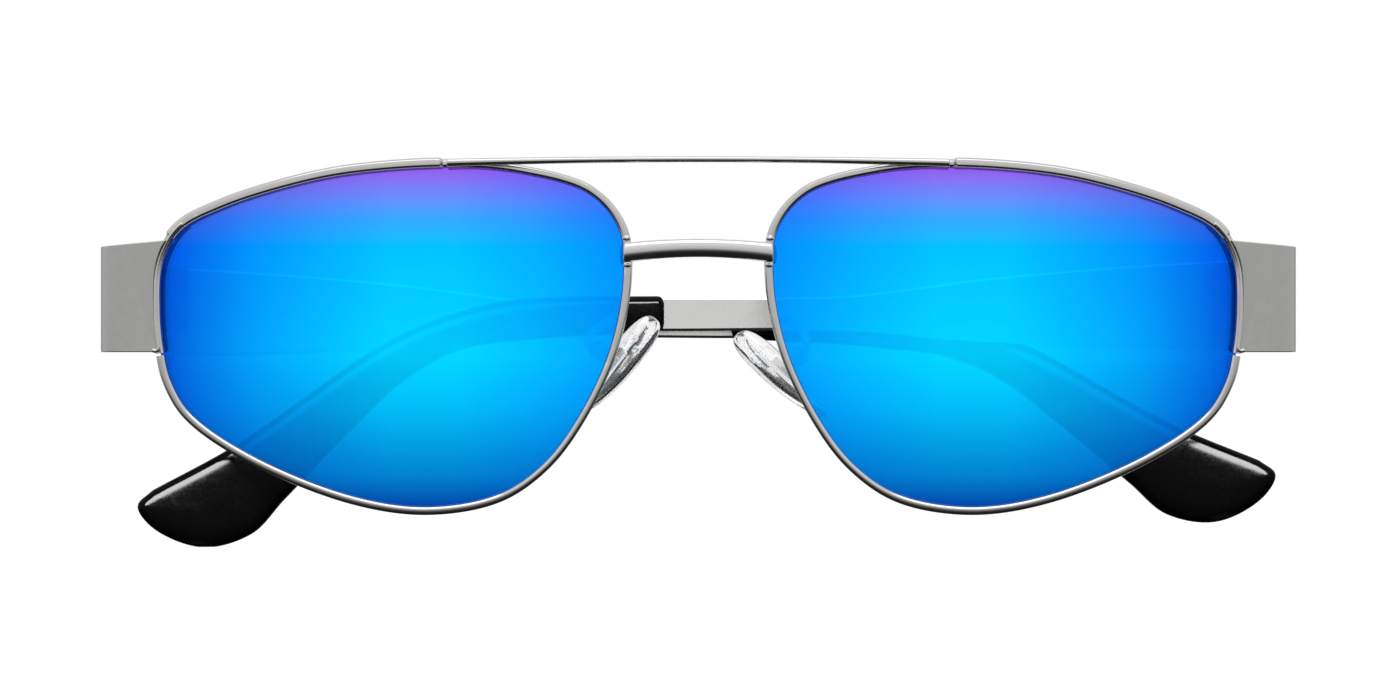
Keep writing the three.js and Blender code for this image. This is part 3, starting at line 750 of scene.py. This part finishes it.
def lens_shape():
    """Lens: a dome of even thickness with a bevelled edge that sits in the rim's groove."""
    around = 300
    samples = edge_samples(0, 1, around + 1)[:-1]
    shells = 14
    shares = [k / shells for k in range(1, shells)]

    def inner_ring(share, back):
        ring = []
        for x, z, *_ in samples:
            px, pz = LENS_CENTRE_X + (x - LENS_CENTRE_X) * share, z * share
            ring.append(Vector((px, sag(px, pz) + back, pz)))
        return ring

    front = [inner_ring(s, -LENS_HALF_THICKNESS) for s in shares]
    back = [inner_ring(s, LENS_HALF_THICKNESS) for s in reversed(shares)]
    half_edge = [(-0.25, 0.75), (-0.15, 0.72), (-0.1, 0.5)]
    profile = [(out, -depth) for out, depth in half_edge] + [(0.4, 0)] + half_edge[::-1]
    edge = [[beside(s, out, depth) for s in samples] for out, depth in profile]
    points, faces = loft(front + edge + back, caps=False)
    last_ring = len(points) - around
    for start, depth, flip in ((0, -LENS_HALF_THICKNESS, False), (last_ring, LENS_HALF_THICKNESS, True)):
        points.append(Vector((LENS_CENTRE_X, sag(LENS_CENTRE_X, 0) + depth, 0)))
        middle = len(points) - 1
        for j in range(around):
            k = (j + 1) % around
            faces.append((middle, start + (k if flip else j), start + (j if flip else k)))
    return points, faces


BAR_END = 0.12
BAR_END_STEPS = 3


def cross_bar(half_span, steps, centre, half_height, half_depth):
    """A bar across the front on an arched path, with a half-round face, a flat back and rounded ends."""
    face_steps = 20
    face = []
    for i in range(face_steps + 1):
        angle = math.pi * i / face_steps
        face.append((-math.sin(angle), math.cos(angle)))
    section = face + [(0.5, -1), (0.6, -0.9), (0.6, 0.9), (0.5, 1)]
    rings = []
    for i in range(-BAR_END_STEPS, steps + BAR_END_STEPS + 1):
        share = min(steps, max(0, i)) / steps
        past_end = max(-i, i - steps, 0) / BAR_END_STEPS * math.pi / 2
        x = half_span * (2 * share - 1) + math.copysign(BAR_END * math.sin(past_end), i)
        size = 1 - 0.35 * (1 - math.cos(past_end))
        y, z = centre(x)
        deep, high = half_depth * size, half_height(x) * size
        rings.append([Vector((x, y + a * deep, z + b * high)) for a, b in section])
    return loft(rings)


def brow_shape():
    """Brow bar: thin and nearly straight, on the fronts of both rims."""
    span = BROW_HALF_SPAN - BAR_END
    return cross_bar(
        span, 160,
        lambda x: (1.95 - 0.5 * (1 - (x / span) ** 2), 21.35 - 0.4 * (x / span) ** 2),
        lambda x: 0.36 + 0.12 * (x / span) ** 2, 0.5,
    )


def bridge_shape():
    """Nose bridge: a thicker half-round bar, bowed up and forwards between the rims."""
    span = BRIDGE_HALF_SPAN - BAR_END
    return cross_bar(
        span, 80,
        lambda x: (1.45 - 0.7 * (1 - (x / span) ** 2), 10.75 - 0.55 * (x / span) ** 2),
        lambda x: 1.1 + 0.1 * (x / span) ** 2, 0.8,
    )


def blob(centre, sizes, rings=12, segments=20):
    """A rounded drop of solder."""
    angles = [math.pi * k / rings for k in range(1, rings)]
    shape = turned([(math.sin(angle), -math.cos(angle)) for angle in angles], segments)
    return moved(shape, Matrix.Translation(centre) @ Matrix.Diagonal((*sizes, 1)))


def end_piece_shape():
    """End piece: a plate from the rim's front that turns the corner and runs back to the hinge."""
    def back_at(x):
        return sag(x, 0) - RIM_HALF_DEPTH - BRAZE_GAP

    inner_wall = OUTER_X - WALL
    inner_end = 62
    hinge_end = HINGE_Y - 0.1
    turn_steps = 16
    plan = [Vector((inner_end, back_at(inner_end) - WALL))]
    plan += bend(
        Vector((69, back_at(69) - WALL)), Vector((OUTER_X, back_at(OUTER_X) - WALL)), Vector((OUTER_X, 10.6)),
        turn_steps,
    )
    plan += [Vector((OUTER_X, hinge_end)), Vector((inner_wall, hinge_end))]
    plan += bend(
        Vector((inner_wall, 10.8)), Vector((inner_wall, back_at(inner_wall))), Vector((68.4, back_at(68.4))),
        turn_steps,
    )
    plan += [Vector((inner_end, back_at(inner_end)))]
    bent = loft([[(p.x, p.y, z) for p in plan] for z in (END_PIECE_BOTTOM - 1, 15)])

    front = [
        (64.9, END_PIECE_BOTTOM), (OUTER_X + 1, END_PIECE_BOTTOM), (OUTER_X + 1, END_PIECE_TOP_OUTER - 0.15),
        (OUTER_X - 0.4, END_PIECE_TOP_OUTER), (63.9, END_PIECE_TOP_INNER),
    ]
    for x, z, out_x, out_z in edge_samples(0.885, 0.999, 24):
        px, pz = x + out_x * 0.62, z + out_z * 0.62
        if END_PIECE_BOTTOM + 0.2 < pz < END_PIECE_TOP_INNER - 0.3:
            front.append((px, pz))
    outline = loft([[(x, y, z) for x, z in front] for y in (0, 22)])
    return combined(bent, outline, "INTERSECT")


def end_lip_shape():
    """Rounded lip along the end piece's inner edge, curled under at its lower end."""
    line = []
    for sample in edge_samples(0.897, 0.9945, 60):
        line.append(beside(sample, 0.42, -RIM_HALF_DEPTH - BRAZE_GAP - 1.0))
    curl, curl_steps = 0.4, 8
    curl_centre = line[-1] + Vector((curl, 0, -0.05))
    for k in range(1, curl_steps + 1):
        angle = math.pi + math.pi * 0.75 * k / curl_steps
        line.append(curl_centre + Vector((curl * math.cos(angle), 0, curl * math.sin(angle))))
    return swept(line, 0.25, 14)


def lock_shape(low, high, reach):
    """One post of the rim lock, with the clearance hole of its screw."""
    post = block((LOCK_INNER_X, LOCK_Y - 1, low), (reach, LOCK_Y + 1, high), 0.3)
    hole = moved(turned([(0.58, low - 1), (0.58, high + 1)], 32), Matrix.Translation((LOCK_X, LOCK_Y, 0)))
    return combined(post, hole, "DIFFERENCE")


def screw_shape(radius, head_radius, head_height, length):
    """A slotted screw about the z axis: domed head below z = 0, shank with a thread relief above it."""
    head = [(0.02, -head_height)]
    for k in range(6):
        angle = math.pi / 2 * k / 5
        wide, tall = 0.72 + 0.28 * math.sin(angle), 0.55 + 0.45 * math.cos(angle)
        head.append((head_radius * wide, -head_height * tall))
    head += [(head_radius, -0.05), (head_radius - 0.05, 0), (radius, 0)]
    turns = max(4, int(length / 0.3))
    threaded = length - 0.45
    shank = []
    for k in range(turns):
        at = 0.25 + threaded * k / turns
        shank += [(radius, at), (radius * 0.9, at + threaded / turns * 0.5)]
    blank = turned(head + shank + [(radius, length - 0.15), (radius - 0.15, length), (0.02, length)], 32)
    slot = block(
        (-head_radius * 1.2, -head_radius * 0.14, -head_height - 1),
        (head_radius * 1.2, head_radius * 0.14, -head_height * 0.5), 0.02,
    )
    return combined(blank, slot, "DIFFERENCE")


LEAF_OUTER = OUTER_X - WALL - 0.1 - HINGE_X


def hinge_half(levels, leaf_low, leaf_high, web_y):
    """Knuckles on a leaf, about the hinge axis, bored for the screw."""
    hinge = block(leaf_low, leaf_high, 0.2)
    for i in levels:
        low, high = BARREL_FLOORS[i], BARREL_TOPS[i]
        web = block((leaf_low[0], web_y[0], low), (leaf_high[0], web_y[1], high), 0.08)
        hinge = combined(hinge, web, "UNION")
        chamfered = BARREL_RADIUS - 0.1
        profile = [
            (chamfered, low), (BARREL_RADIUS, low + 0.1), (BARREL_RADIUS, high - 0.1), (chamfered, high),
        ]
        hinge = combined(hinge, turned(profile, 48), "UNION")
    bore = turned([(BARREL_HOLE, -2), (BARREL_HOLE, 12)], 40)
    return combined(hinge, bore, "DIFFERENCE")


def front_pieces(side):
    """Rim, lens, end piece, lock and hinge of one side."""
    name = side["name"]
    at = to_row(side)
    hinge = at @ Matrix.Translation((HINGE_X, HINGE_Y, 0))
    piece(f"eyewire_{name}", rim_shape(), at, "front", RIM_METAL, [f"rim_{name}"], crease=50)
    lens = piece(
        f"mirror_lens_{name}", lens_shape(), at, "front", MIRROR, [f"lens_{name}"], crease=30,
    )
    lens.visible_glossy = False
    lens.visible_shadow = False
    piece(
        f"corner_plate_{name}", end_piece_shape(), at, "front", SATIN,
        [f"end_piece_{name}"], bevel=0.4, crease=30,
    )
    piece(f"plate_lip_{name}", end_lip_shape(), at, "front", RIM_METAL, crease=60)
    upper = lock_shape(END_PIECE_BOTTOM + 0.1, LOCK_UPPER_TOP, OUTER_X - WALL - 0.6)
    lower = lock_shape(LOCK_LOWER_FLOOR, END_PIECE_BOTTOM - 0.4, LOCK_LOWER_REACH)
    for part, shape in (("upper", upper), ("lower", lower)):
        piece(
            f"lock_post_{part}_{name}", shape, at, "front", HARDWARE,
            [f"rim_lock_{part}_{name}"], bevel=0.04,
        )
    lock_screw = at @ Matrix.Translation((LOCK_X, LOCK_Y, LOCK_LOWER_FLOOR - 0.1))
    piece(
        f"lock_screw_{name}", screw_shape(0.5, 0.8, 0.4, 3.6), lock_screw, "front",
        HARDWARE, [f"rim_lock_screw_{name}"], crease=35,
    )
    half = hinge_half(
        (0, 2), (LEAF_OUTER - LEAF_THICKNESS, -5.2, BARREL_FLOORS[0]),
        (LEAF_OUTER, -1.45, BARREL_TOPS[2]), (-1.6, -0.3),
    )
    piece(
        f"hinge_knuckles_{name}", half, hinge, "front", HARDWARE,
        [f"hinge_front_{name}"], bevel=0.03,
    )
    turned_over = Matrix.Translation((0, 0, HINGE_SCREW_TOP)) @ Matrix.Rotation(math.pi, 4, "X")
    piece(
        f"hinge_pin_{name}", screw_shape(0.62, 1.05, 0.5, 8), hinge @ turned_over, "front",
        HARDWARE, [f"hinge_screw_{name}"], crease=35,
    )
    for label, z in (("upper", 11.95), ("lower", 8.75)):
        x = 8.45 + (0.15 if label == "upper" else 0.0)
        drop = blob((x, sag(x, z) - 0.75, z), (0.5, 0.55, 0.42))
        piece(f"bridge_solder_{label}_{name}", drop, at, "front", POLISHED, crease=80)


# ======== temples ========

def temple_point(p, side):
    """A temple outline point: reach makes it longer, unbend opens its ear bend, drop lowers it."""
    turn = math.radians(side["unbend"]) * smooth_step(p.x, TIP_PIVOT.x - 8, TIP_PIVOT.x + 8)
    longer = side["reach"] * smooth_step(p.x, TIP_START + 2, TIP_PIVOT.x - 4)
    away = p + Vector((longer, 0)) - TIP_PIVOT
    cos, sin = math.cos(turn), math.sin(turn)
    opened = TIP_PIVOT + Vector((away.x * cos - away.y * sin, away.x * sin + away.y * cos))
    return Vector((opened.x, opened.y - side["drop"]))


def curve_in(s):
    """How far the temple has curved in towards the head at a distance from the hinge."""
    share = max(0.0, (s - TIP_CURVE_START) / (TIP_LENGTH - TIP_CURVE_START))
    return TIP_CURVE_IN * share * share


def inset(outline, distance):
    """A closed outline moved inwards by a distance; the outline runs clockwise."""
    count = len(outline)
    moved_in = []
    for i in range(count):
        before, here, after = (outline[(i + k) % count] for k in (-1, 0, 1))
        first, second = (here - before).normalized(), (after - here).normalized()
        normals = [Vector((d.y, -d.x)) for d in (first, second)]
        middle = (normals[0] + normals[1]).normalized()
        moved_in.append(here + middle * distance / max(0.5, middle.dot(normals[0])))
    return moved_in


def plate_shape(top, bottom, half_thickness, edge, side):
    """A plate between two lines of equal counts; edge is its (inset, thickness lost) profile."""
    outline = [temple_point(p, side) for p in list(top) + list(reversed(bottom))]
    count = len(top)

    def ring(distance, height):
        placed_ring = []
        for p in inset(outline, distance):
            placed_ring.append(Vector((TEMPLE_MIDDLE + height - curve_in(p.x), p.x, p.y)))
        return placed_ring

    profile = [(d, half_thickness - lost) for d, lost in edge]
    rings = [ring(d, h) for d, h in profile] + [ring(d, -h) for d, h in reversed(profile)]
    points, faces = loft(rings, caps=False)
    last = (len(rings) - 1) * len(outline)
    for start in (0, last):
        for i in range(count - 1):
            low, next_low = 2 * count - 1 - i, 2 * count - 2 - i
            faces.append((start + i, start + i + 1, start + next_low, start + low))
    return points, faces


def crowned_plate(top, bottom, thickness_at, side, steps=26):
    """A plate between two lines of equal counts, as thick as thickness_at(distance from edge, width)."""
    lines = [[temple_point(p, side) for p in line] for line in (top, bottom)]
    parts = 10
    outline = []
    for line in lines:
        for a, b in zip(line, line[1:]):
            outline += [a.lerp(b, k / parts) for k in range(parts)]
    tree = KDTree(len(outline))
    for i, p in enumerate(outline):
        tree.insert((p.x, p.y, 0), i)
    tree.balance()
    shares = [0.5 - 0.5 * math.cos(math.pi * k / steps) for k in range(steps + 1)]
    rings = []
    for high, low in zip(*lines):
        across = []
        mouth = 0.3 * (1 - smooth_step(high.x, TIP_START, TIP_START + 0.5))
        for share in shares:
            p = high.lerp(low, share)
            distance = tree.find((p.x, p.y, 0))[2] if 0 < share < 1 else 0.0
            across.append((p, thickness_at(distance, (high - low).length) - mouth))
        face = [Vector((TEMPLE_MIDDLE + half - curve_in(p.x), p.x, p.y)) for p, half in across]
        back = [Vector((TEMPLE_MIDDLE - half - curve_in(p.x), p.x, p.y)) for p, half in reversed(across)]
        rings.append(face + back)
    return loft(rings)


def tip_thickness(distance, width):
    """Half thickness of a temple tip: a crowned face, flatter where narrow, that falls into a round edge."""
    edge_radius = 0.75
    crown = 0.5 * math.exp(-distance / 1.7) * smooth_step(width, 2, 8)
    fall = max(0.0, edge_radius - distance)
    return TIP_HALF_THICKNESS - crown - edge_radius + math.sqrt(edge_radius ** 2 - fall ** 2)


def bar_shape(side):
    """Temple bar: a flat blade with bevelled edges that narrows from the hinge."""
    end = TIP_START + 0.9
    count = 90
    deepest = (6.6, -1.45)
    top_edge = spline([(HINGE_GAP, 9.7), (15.4, 8.9), (33.2, 7.4), (45.7, 5.8), (52, 5.15), (end, 5)])
    low_corner = spline([(HINGE_GAP, -0.7), (4.4, -0.75), (5.4, -1.1), deepest])
    low_edge = spline([deepest, (19.4, -1.15), (37.6, -0.3), (50, 0.8), (end, 0.85)])
    top = evenly(top_edge, count)
    bottom = evenly(low_corner + low_edge[1:], count)
    return plate_shape(top, bottom, WALL / 2, [(0.32, 0.0), (0.3, 0.01), (0.08, 0.2), (0.0, 0.3)], side)


def arc(centre, radius, start, end, steps):
    """Points of an arc, angles in degrees."""
    found = []
    for k in range(steps + 1):
        angle = math.radians(start + (end - start) * k / steps)
        found.append(Vector((centre[0] + radius * math.cos(angle), centre[1] + radius * math.sin(angle))))
    return found


def tip_shape(side):
    """Temple tip: black plastic, bent down behind the ear and widened to a paddle, with round edges."""
    corner = 0.8
    mouth_top, mouth_bottom = 5.1, 0.75
    top_corner = arc((TIP_START + corner, mouth_top - corner), corner, 180, 95, 5)
    bottom_corner = arc((TIP_START + corner, mouth_bottom + corner), corner, 180, 265, 5)
    after_mouth = TIP_START + 1
    paddle_back, paddle_under = (135.4, -18.4), (119.6, -19.7)
    back = spline([
        (after_mouth, mouth_top), (85, 5), (93, 4.45), (100.4, 2.5), (107.8, -0.9), (125, -12.7), paddle_back,
    ])
    under = spline([
        (after_mouth, mouth_bottom), (90, -0.2), (98, -1.4), (104.9, -5.1), (111.3, -11.1), paddle_under,
    ])
    paddle = spline([
        paddle_back, (137.2, -20.3), (135.2, -23.1), (129.2, -25.3), (123.4, -23.7), paddle_under,
    ])
    edge_count, paddle_count = 110, 26
    top = top_corner + evenly(back, edge_count)[:-1] + evenly(paddle, paddle_count, 0, 0.479)
    paddle_low = list(reversed(evenly(paddle, paddle_count, 0.481, 1)))
    bottom = bottom_corner + evenly(under, edge_count)[:-1] + paddle_low
    return crowned_plate(top, bottom, tip_thickness, side)


def temple_pieces(side):
    """Bar, tip and hinge half of one temple."""
    name = side["name"]
    at = temple_to_row(side)
    body = f"temple_{name}"
    piece(
        f"blade_{name}", bar_shape(side), at, body, BRIGHT_SATIN, [f"temple_bar_{name}"],
        crease=24,
    )
    piece(
        f"ear_tip_{name}", tip_shape(side), at, body, PLASTIC, [f"temple_tip_{name}"],
        crease=40,
    )
    half = hinge_half(
        (1,), (LEAF_OUTER - LEAF_THICKNESS, 1.6, BARREL_FLOORS[0]),
        (LEAF_OUTER, 7.5, BARREL_TOPS[2]), (0.3, 1.8),
    )
    piece(
        f"hinge_tongue_{name}", half, at, body, HARDWARE, [f"hinge_temple_{name}"],
        bevel=0.03,
    )


# ======== nose pads ========

def pad_shape():
    """Silicone pad: a cushion with a round top end and a narrower lower end."""
    rings = []
    count, around = 36, 48
    for i in range(1, count):
        polar = math.pi * i / count
        along = -math.cos(polar)
        taper = 1 + PAD_TAPER * along
        power = PAD_TOP_ROUNDNESS if along > 0 else PAD_BOTTOM_ROUNDNESS
        wide = (1 - abs(along) ** power) ** (1 / power)
        ring = []
        for j in range(around):
            angle = 2 * math.pi * j / around
            across = math.cos(angle) * PAD_HALF_WIDTH * taper * wide
            thick = math.sin(angle) * PAD_HALF_THICKNESS * wide
            crown = 0.12 * (1 - (across / PAD_HALF_WIDTH) ** 2) if thick > 0 else 0
            ring.append(Vector((along * PAD_HALF_LENGTH, across * 0.97, thick * 0.92 + crown * wide)))
        rings.append(ring)
    return loft(rings)


BUBBLES = 14


def bubbles(seed):
    """Small air bubbles in the pad, most of them near its round end."""
    chance = random.Random(seed)
    found = []
    for _ in range(BUBBLES):
        along = 2.6 + chance.random() * 3.2
        across = (chance.random() - 0.5) * 3.4
        size = 0.1 + chance.random() * 0.17
        centre = Vector((along, across, (chance.random() - 0.5) * 0.7))
        found.append(blob(centre, (size * (1 + chance.random()), size, size * 0.7), 8, 12))
    return found


PAD_BOX_BACK = -PAD_SCREW_DEPTH - 1.15


def pad_screw_hole():
    """The bore that the pad's screw passes through, across the lug and the box."""
    bore = moved(turned([(0.48, -2), (0.48, 2)], 28), Matrix.Rotation(math.pi / 2, 4, "X"))
    return moved(bore, Matrix.Translation((0, 0, -PAD_SCREW_DEPTH)))


def insert_shape():
    """Pad insert: a flat bar in the middle of the pad with a drilled lug."""
    blade = block((-3.2, -1.1, -0.4), (2, 1.1, 0.4), 0.35)
    lug = block((-0.8, -0.4, -PAD_SCREW_DEPTH - 0.65), (0.8, 0.4, 0), 0.15)
    return combined(combined(blade, lug, "UNION"), pad_screw_hole(), "DIFFERENCE")


def box_shape():
    """Pad box: a rounded metal cup on the pad arm that holds the lug between its cheeks."""
    body = block((-1.1, -1, PAD_BOX_BACK), (1.1, 1, -PAD_SCREW_DEPTH + 0.6), 0.55)
    slot = block((-2, -0.5, -PAD_SCREW_DEPTH - 0.75), (2, 0.5, 1), 0.05)
    return combined(combined(body, slot, "DIFFERENCE"), pad_screw_hole(), "DIFFERENCE")


def arm_line(at_pad):
    """Path of the pad arm: from the back of the rim, looped out and down to the pad box."""
    root_x, root_z = 9.25, 2.4
    on_rim = Vector((root_x, sag(root_x, root_z) + RIM_HALF_DEPTH + BRAZE_GAP, root_z))
    before = at_pad @ Vector((0, 0, PAD_BOX_BACK - 0.95))
    on_box = at_pad @ Vector((-0.3, 0, PAD_BOX_BACK - BRAZE_GAP))
    return evenly(spline([on_rim, (9.4, 6.2, 2.6), (10.7, 8.3, 2.0), (12.6, 8.8, 0.9), before, on_box]), 48)


def pad_pieces(side, seed):
    """Pad, insert, box, screw and arm of one side."""
    name = side["name"]
    at_pad = pad_frame(side)
    at = to_row(side) @ at_pad
    body = f"pad_{name}"
    piece(
        f"silicone_pad_{name}", pad_shape(), at, body, SILICONE, [f"nose_pad_{name}"],
        crease=60, inner=bubbles(seed),
    )
    piece(
        f"insert_bar_{name}", insert_shape(), at, body, BRIGHT_SATIN,
        [f"pad_insert_{name}"], bevel=0.04,
    )
    piece(
        f"pad_cup_{name}", box_shape(), at, "front", HARDWARE, [f"pad_box_{name}"],
        bevel=0.06,
    )
    screw = Matrix.Translation((0, -1.05, -PAD_SCREW_DEPTH)) @ Matrix.Rotation(-math.pi / 2, 4, "X")
    piece(
        f"cup_screw_{name}", screw_shape(0.4, 0.7, 0.35, 2.1), at @ screw, "front",
        HARDWARE, [f"pad_screw_{name}"], crease=35,
    )
    arm = swept(arm_line(at_pad), PAD_ARM_RADIUS, 18)
    piece(
        f"pad_wire_{name}", arm, to_row(side), "front", HARDWARE, [f"pad_arm_{name}"],
        crease=60,
    )


# ======== camera, stage and light ========

CAMERA_DISTANCE = 900.0
CAMERA_FOCAL = 194.1


def add_camera():
    """The camera looks straight back at the front from 0.9 m, level with the lens centres."""
    data = bpy.data.cameras.new("front view")
    data.sensor_width = 36.0
    data.lens = CAMERA_FOCAL
    data.clip_start = 0.01
    data.clip_end = 20.0
    camera = bpy.data.objects.new("front view", data)
    camera.location = ORIGIN + Vector((0.2, -CAMERA_DISTANCE, -1.44)) * MM
    camera.rotation_euler = (math.radians(90), 0, 0)
    bpy.context.scene.collection.objects.link(camera)
    bpy.context.scene.camera = camera


def add_floor():
    """A wide pale floor that carries almost no shadow and doesn't show in the metal."""
    mesh = bpy.data.meshes.new("floor")
    reach = 4.0
    corners = [(-reach, -reach, 0), (reach, -reach, 0), (reach, reach, 0), (-reach, reach, 0)]
    mesh.from_pydata(corners, [], [(0, 1, 2, 3)])
    floor = bpy.data.objects.new("floor", mesh)
    material, tree, shader = new_material(
        "pale floor",
        {
            "Roughness": 0.9, "Specular IOR Level": 0.0,
            "Emission Strength": 0.86, "Emission Color": (1, 1, 1, 1),
        },
    )
    marks = placed(tree, HANDLING, {"Scale": 6.0, "Amount": 0.4})
    colour = mixed(tree, marks.outputs["Mask"], (0.2, 0.2, 0.2), (0.21, 0.21, 0.21))
    tree.links.new(colour, shader.inputs["Base Color"])
    mesh.materials.append(material)
    floor.visible_glossy = False
    floor.visible_diffuse = False
    floor.visible_transmission = False
    bpy.context.scene.collection.objects.link(floor)


# Height of the direction as a share from straight down to straight up, and the room's brightness there as a
# share of its strength: the half in front of the lenses, and the half behind them.
ROOM_STRENGTH = 1.2
ROOM_IN_FRONT = (
    (0.0, 0.015), (0.2, 0.02), (0.33, 0.1), (0.42, 0.42), (0.5, 0.62), (0.62, 0.7), (0.78, 0.9), (1.0, 0.85),
)
ROOM_BEHIND = (
    (0.0, 0.015), (0.12, 0.05), (0.3, 0.6), (0.4, 0.5), (0.47, 0.1), (0.53, 0.06), (0.6, 0.2), (0.8, 0.6),
    (1.0, 0.85),
)


def add_world():
    """A white room: plain white to look at, and in reflections bright above, grey in front, dark below."""
    world = bpy.data.worlds.new("studio")
    world.use_nodes = True
    bpy.context.scene.world = world
    tree = world.node_tree
    tree.nodes.clear()
    place = node(tree, "ShaderNodeTexCoord")
    parts = node(tree, "ShaderNodeSeparateXYZ")
    level = node(tree, "ShaderNodeMapRange", {"From Min": -1.0, "From Max": 1.0})
    in_front = node(tree, "ShaderNodeValToRGB")
    ramp(in_front, [(share, (bright, bright, bright)) for share, bright in ROOM_IN_FRONT])
    at_back = node(tree, "ShaderNodeValToRGB")
    ramp(at_back, [(share, (bright, bright, bright)) for share, bright in ROOM_BEHIND])
    depth = node(
        tree, "ShaderNodeMapRange", {"From Min": 0.1, "From Max": 0.7}, interpolation_type="SMOOTHSTEP",
    )
    aside = node(tree, "ShaderNodeMath", operation="ABSOLUTE")
    middle = node(
        tree, "ShaderNodeMapRange", {"From Min": 0.3, "From Max": 0.7, "To Min": 1.0, "To Max": 0.0},
    )
    behind = node(tree, "ShaderNodeMath", operation="MULTIPLY")
    room = node(tree, "ShaderNodeMix", data_type="RGBA")
    lit = node(tree, "ShaderNodeBackground", {"Strength": ROOM_STRENGTH})
    wire(
        tree,
        (place, "Generated", parts, "Vector"), (parts, "Z", level, "Value"),
        (level, "Result", in_front, "Fac"), (level, "Result", at_back, "Fac"),
        (parts, "Y", depth, "Value"), (parts, "X", aside, 0), (aside, "Value", middle, "Value"),
        (depth, "Result", behind, 0), (middle, "Result", behind, 1), (behind, "Value", room, "Factor"),
        (in_front, "Color", room, MIX_A), (at_back, "Color", room, MIX_B), (room, MIX_OUT, lit, "Color"),
    )
    seen = node(tree, "ShaderNodeLightPath")
    inside = node(tree, "ShaderNodeMath", {1: 1.0}, operation="MINIMUM")
    through = node(tree, "ShaderNodeMapRange", {"To Min": 1.0, "To Max": 0.95})
    clear = node(tree, "ShaderNodeMath", operation="MAXIMUM")
    white = node(tree, "ShaderNodeBackground", {"Color": (1, 1, 1, 1), "Strength": 1.0})
    either = node(tree, "ShaderNodeMixShader")
    out = node(tree, "ShaderNodeOutputWorld")
    wire(
        tree,
        (seen, "Is Camera Ray", clear, 0), (seen, "Transmission Depth", inside, 0),
        (inside, "Value", clear, 1), (inside, "Value", through, "Value"),
        (through, "Result", white, "Strength"), (clear, "Value", either, "Fac"),
        (lit, "Background", either, 1), (white, "Background", either, 2), (either, "Shader", out, "Surface"),
    )


def add_light(name, place, aim, size, power, lit=()):
    """A soft rectangular light, in metres. If lit is given, only those pieces take it."""
    data = bpy.data.lights.new(name, "AREA")
    data.shape = "RECTANGLE"
    data.size, data.size_y = size
    data.energy = power
    lamp = bpy.data.objects.new(name, data)
    lamp.location = Vector(place)
    lamp.rotation_euler = (Vector(aim) - Vector(place)).to_track_quat("-Z", "Y").to_euler()
    lamp.visible_camera = False
    bpy.context.scene.collection.objects.link(lamp)
    if lit:
        group = bpy.data.collections.new(f"{name} pieces")
        for made in lit:
            group.objects.link(made)
        lamp.light_linking.receiver_collection = group


# ======== making ========

piece(
    "brow_wire", brow_shape(), CENTRE_TO_ROW, "front", RIM_METAL, ["brow_bar"], crease=60,
)
piece(
    "bridge_bar", bridge_shape(), CENTRE_TO_ROW, "front", POLISHED, ["nose_bridge"],
    crease=60,
)
for number, side in enumerate(SIDES):
    front_pieces(side)
    pad_pieces(side, 11 + number)
    temple_pieces(side)

MIDDLE = (0, 0, 0.02)
add_camera()
add_floor()
add_world()
add_light("top light", (0.0, -0.25, 0.9), MIDDLE, (1.0, 0.6), 2.5)
add_light("back light", (0.0, 0.9, 0.5), MIDDLE, (1.0, 0.5), 1.5)
tips = [bpy.data.objects[f"ear_tip_{side['name']}"] for side in SIDES]
add_light("tip light", (0.0, -1.0, 0.38), MIDDLE, (0.9, 0.3), 130.0, tips)
lenses = [bpy.data.objects[f"mirror_lens_{side['name']}"] for side in SIDES]
add_light("lens light", (0.0, -1.3, 0.02), MIDDLE, (3.2, 2.4), 9.5, lenses)
bpy.context.scene.view_settings.view_transform = "Standard"
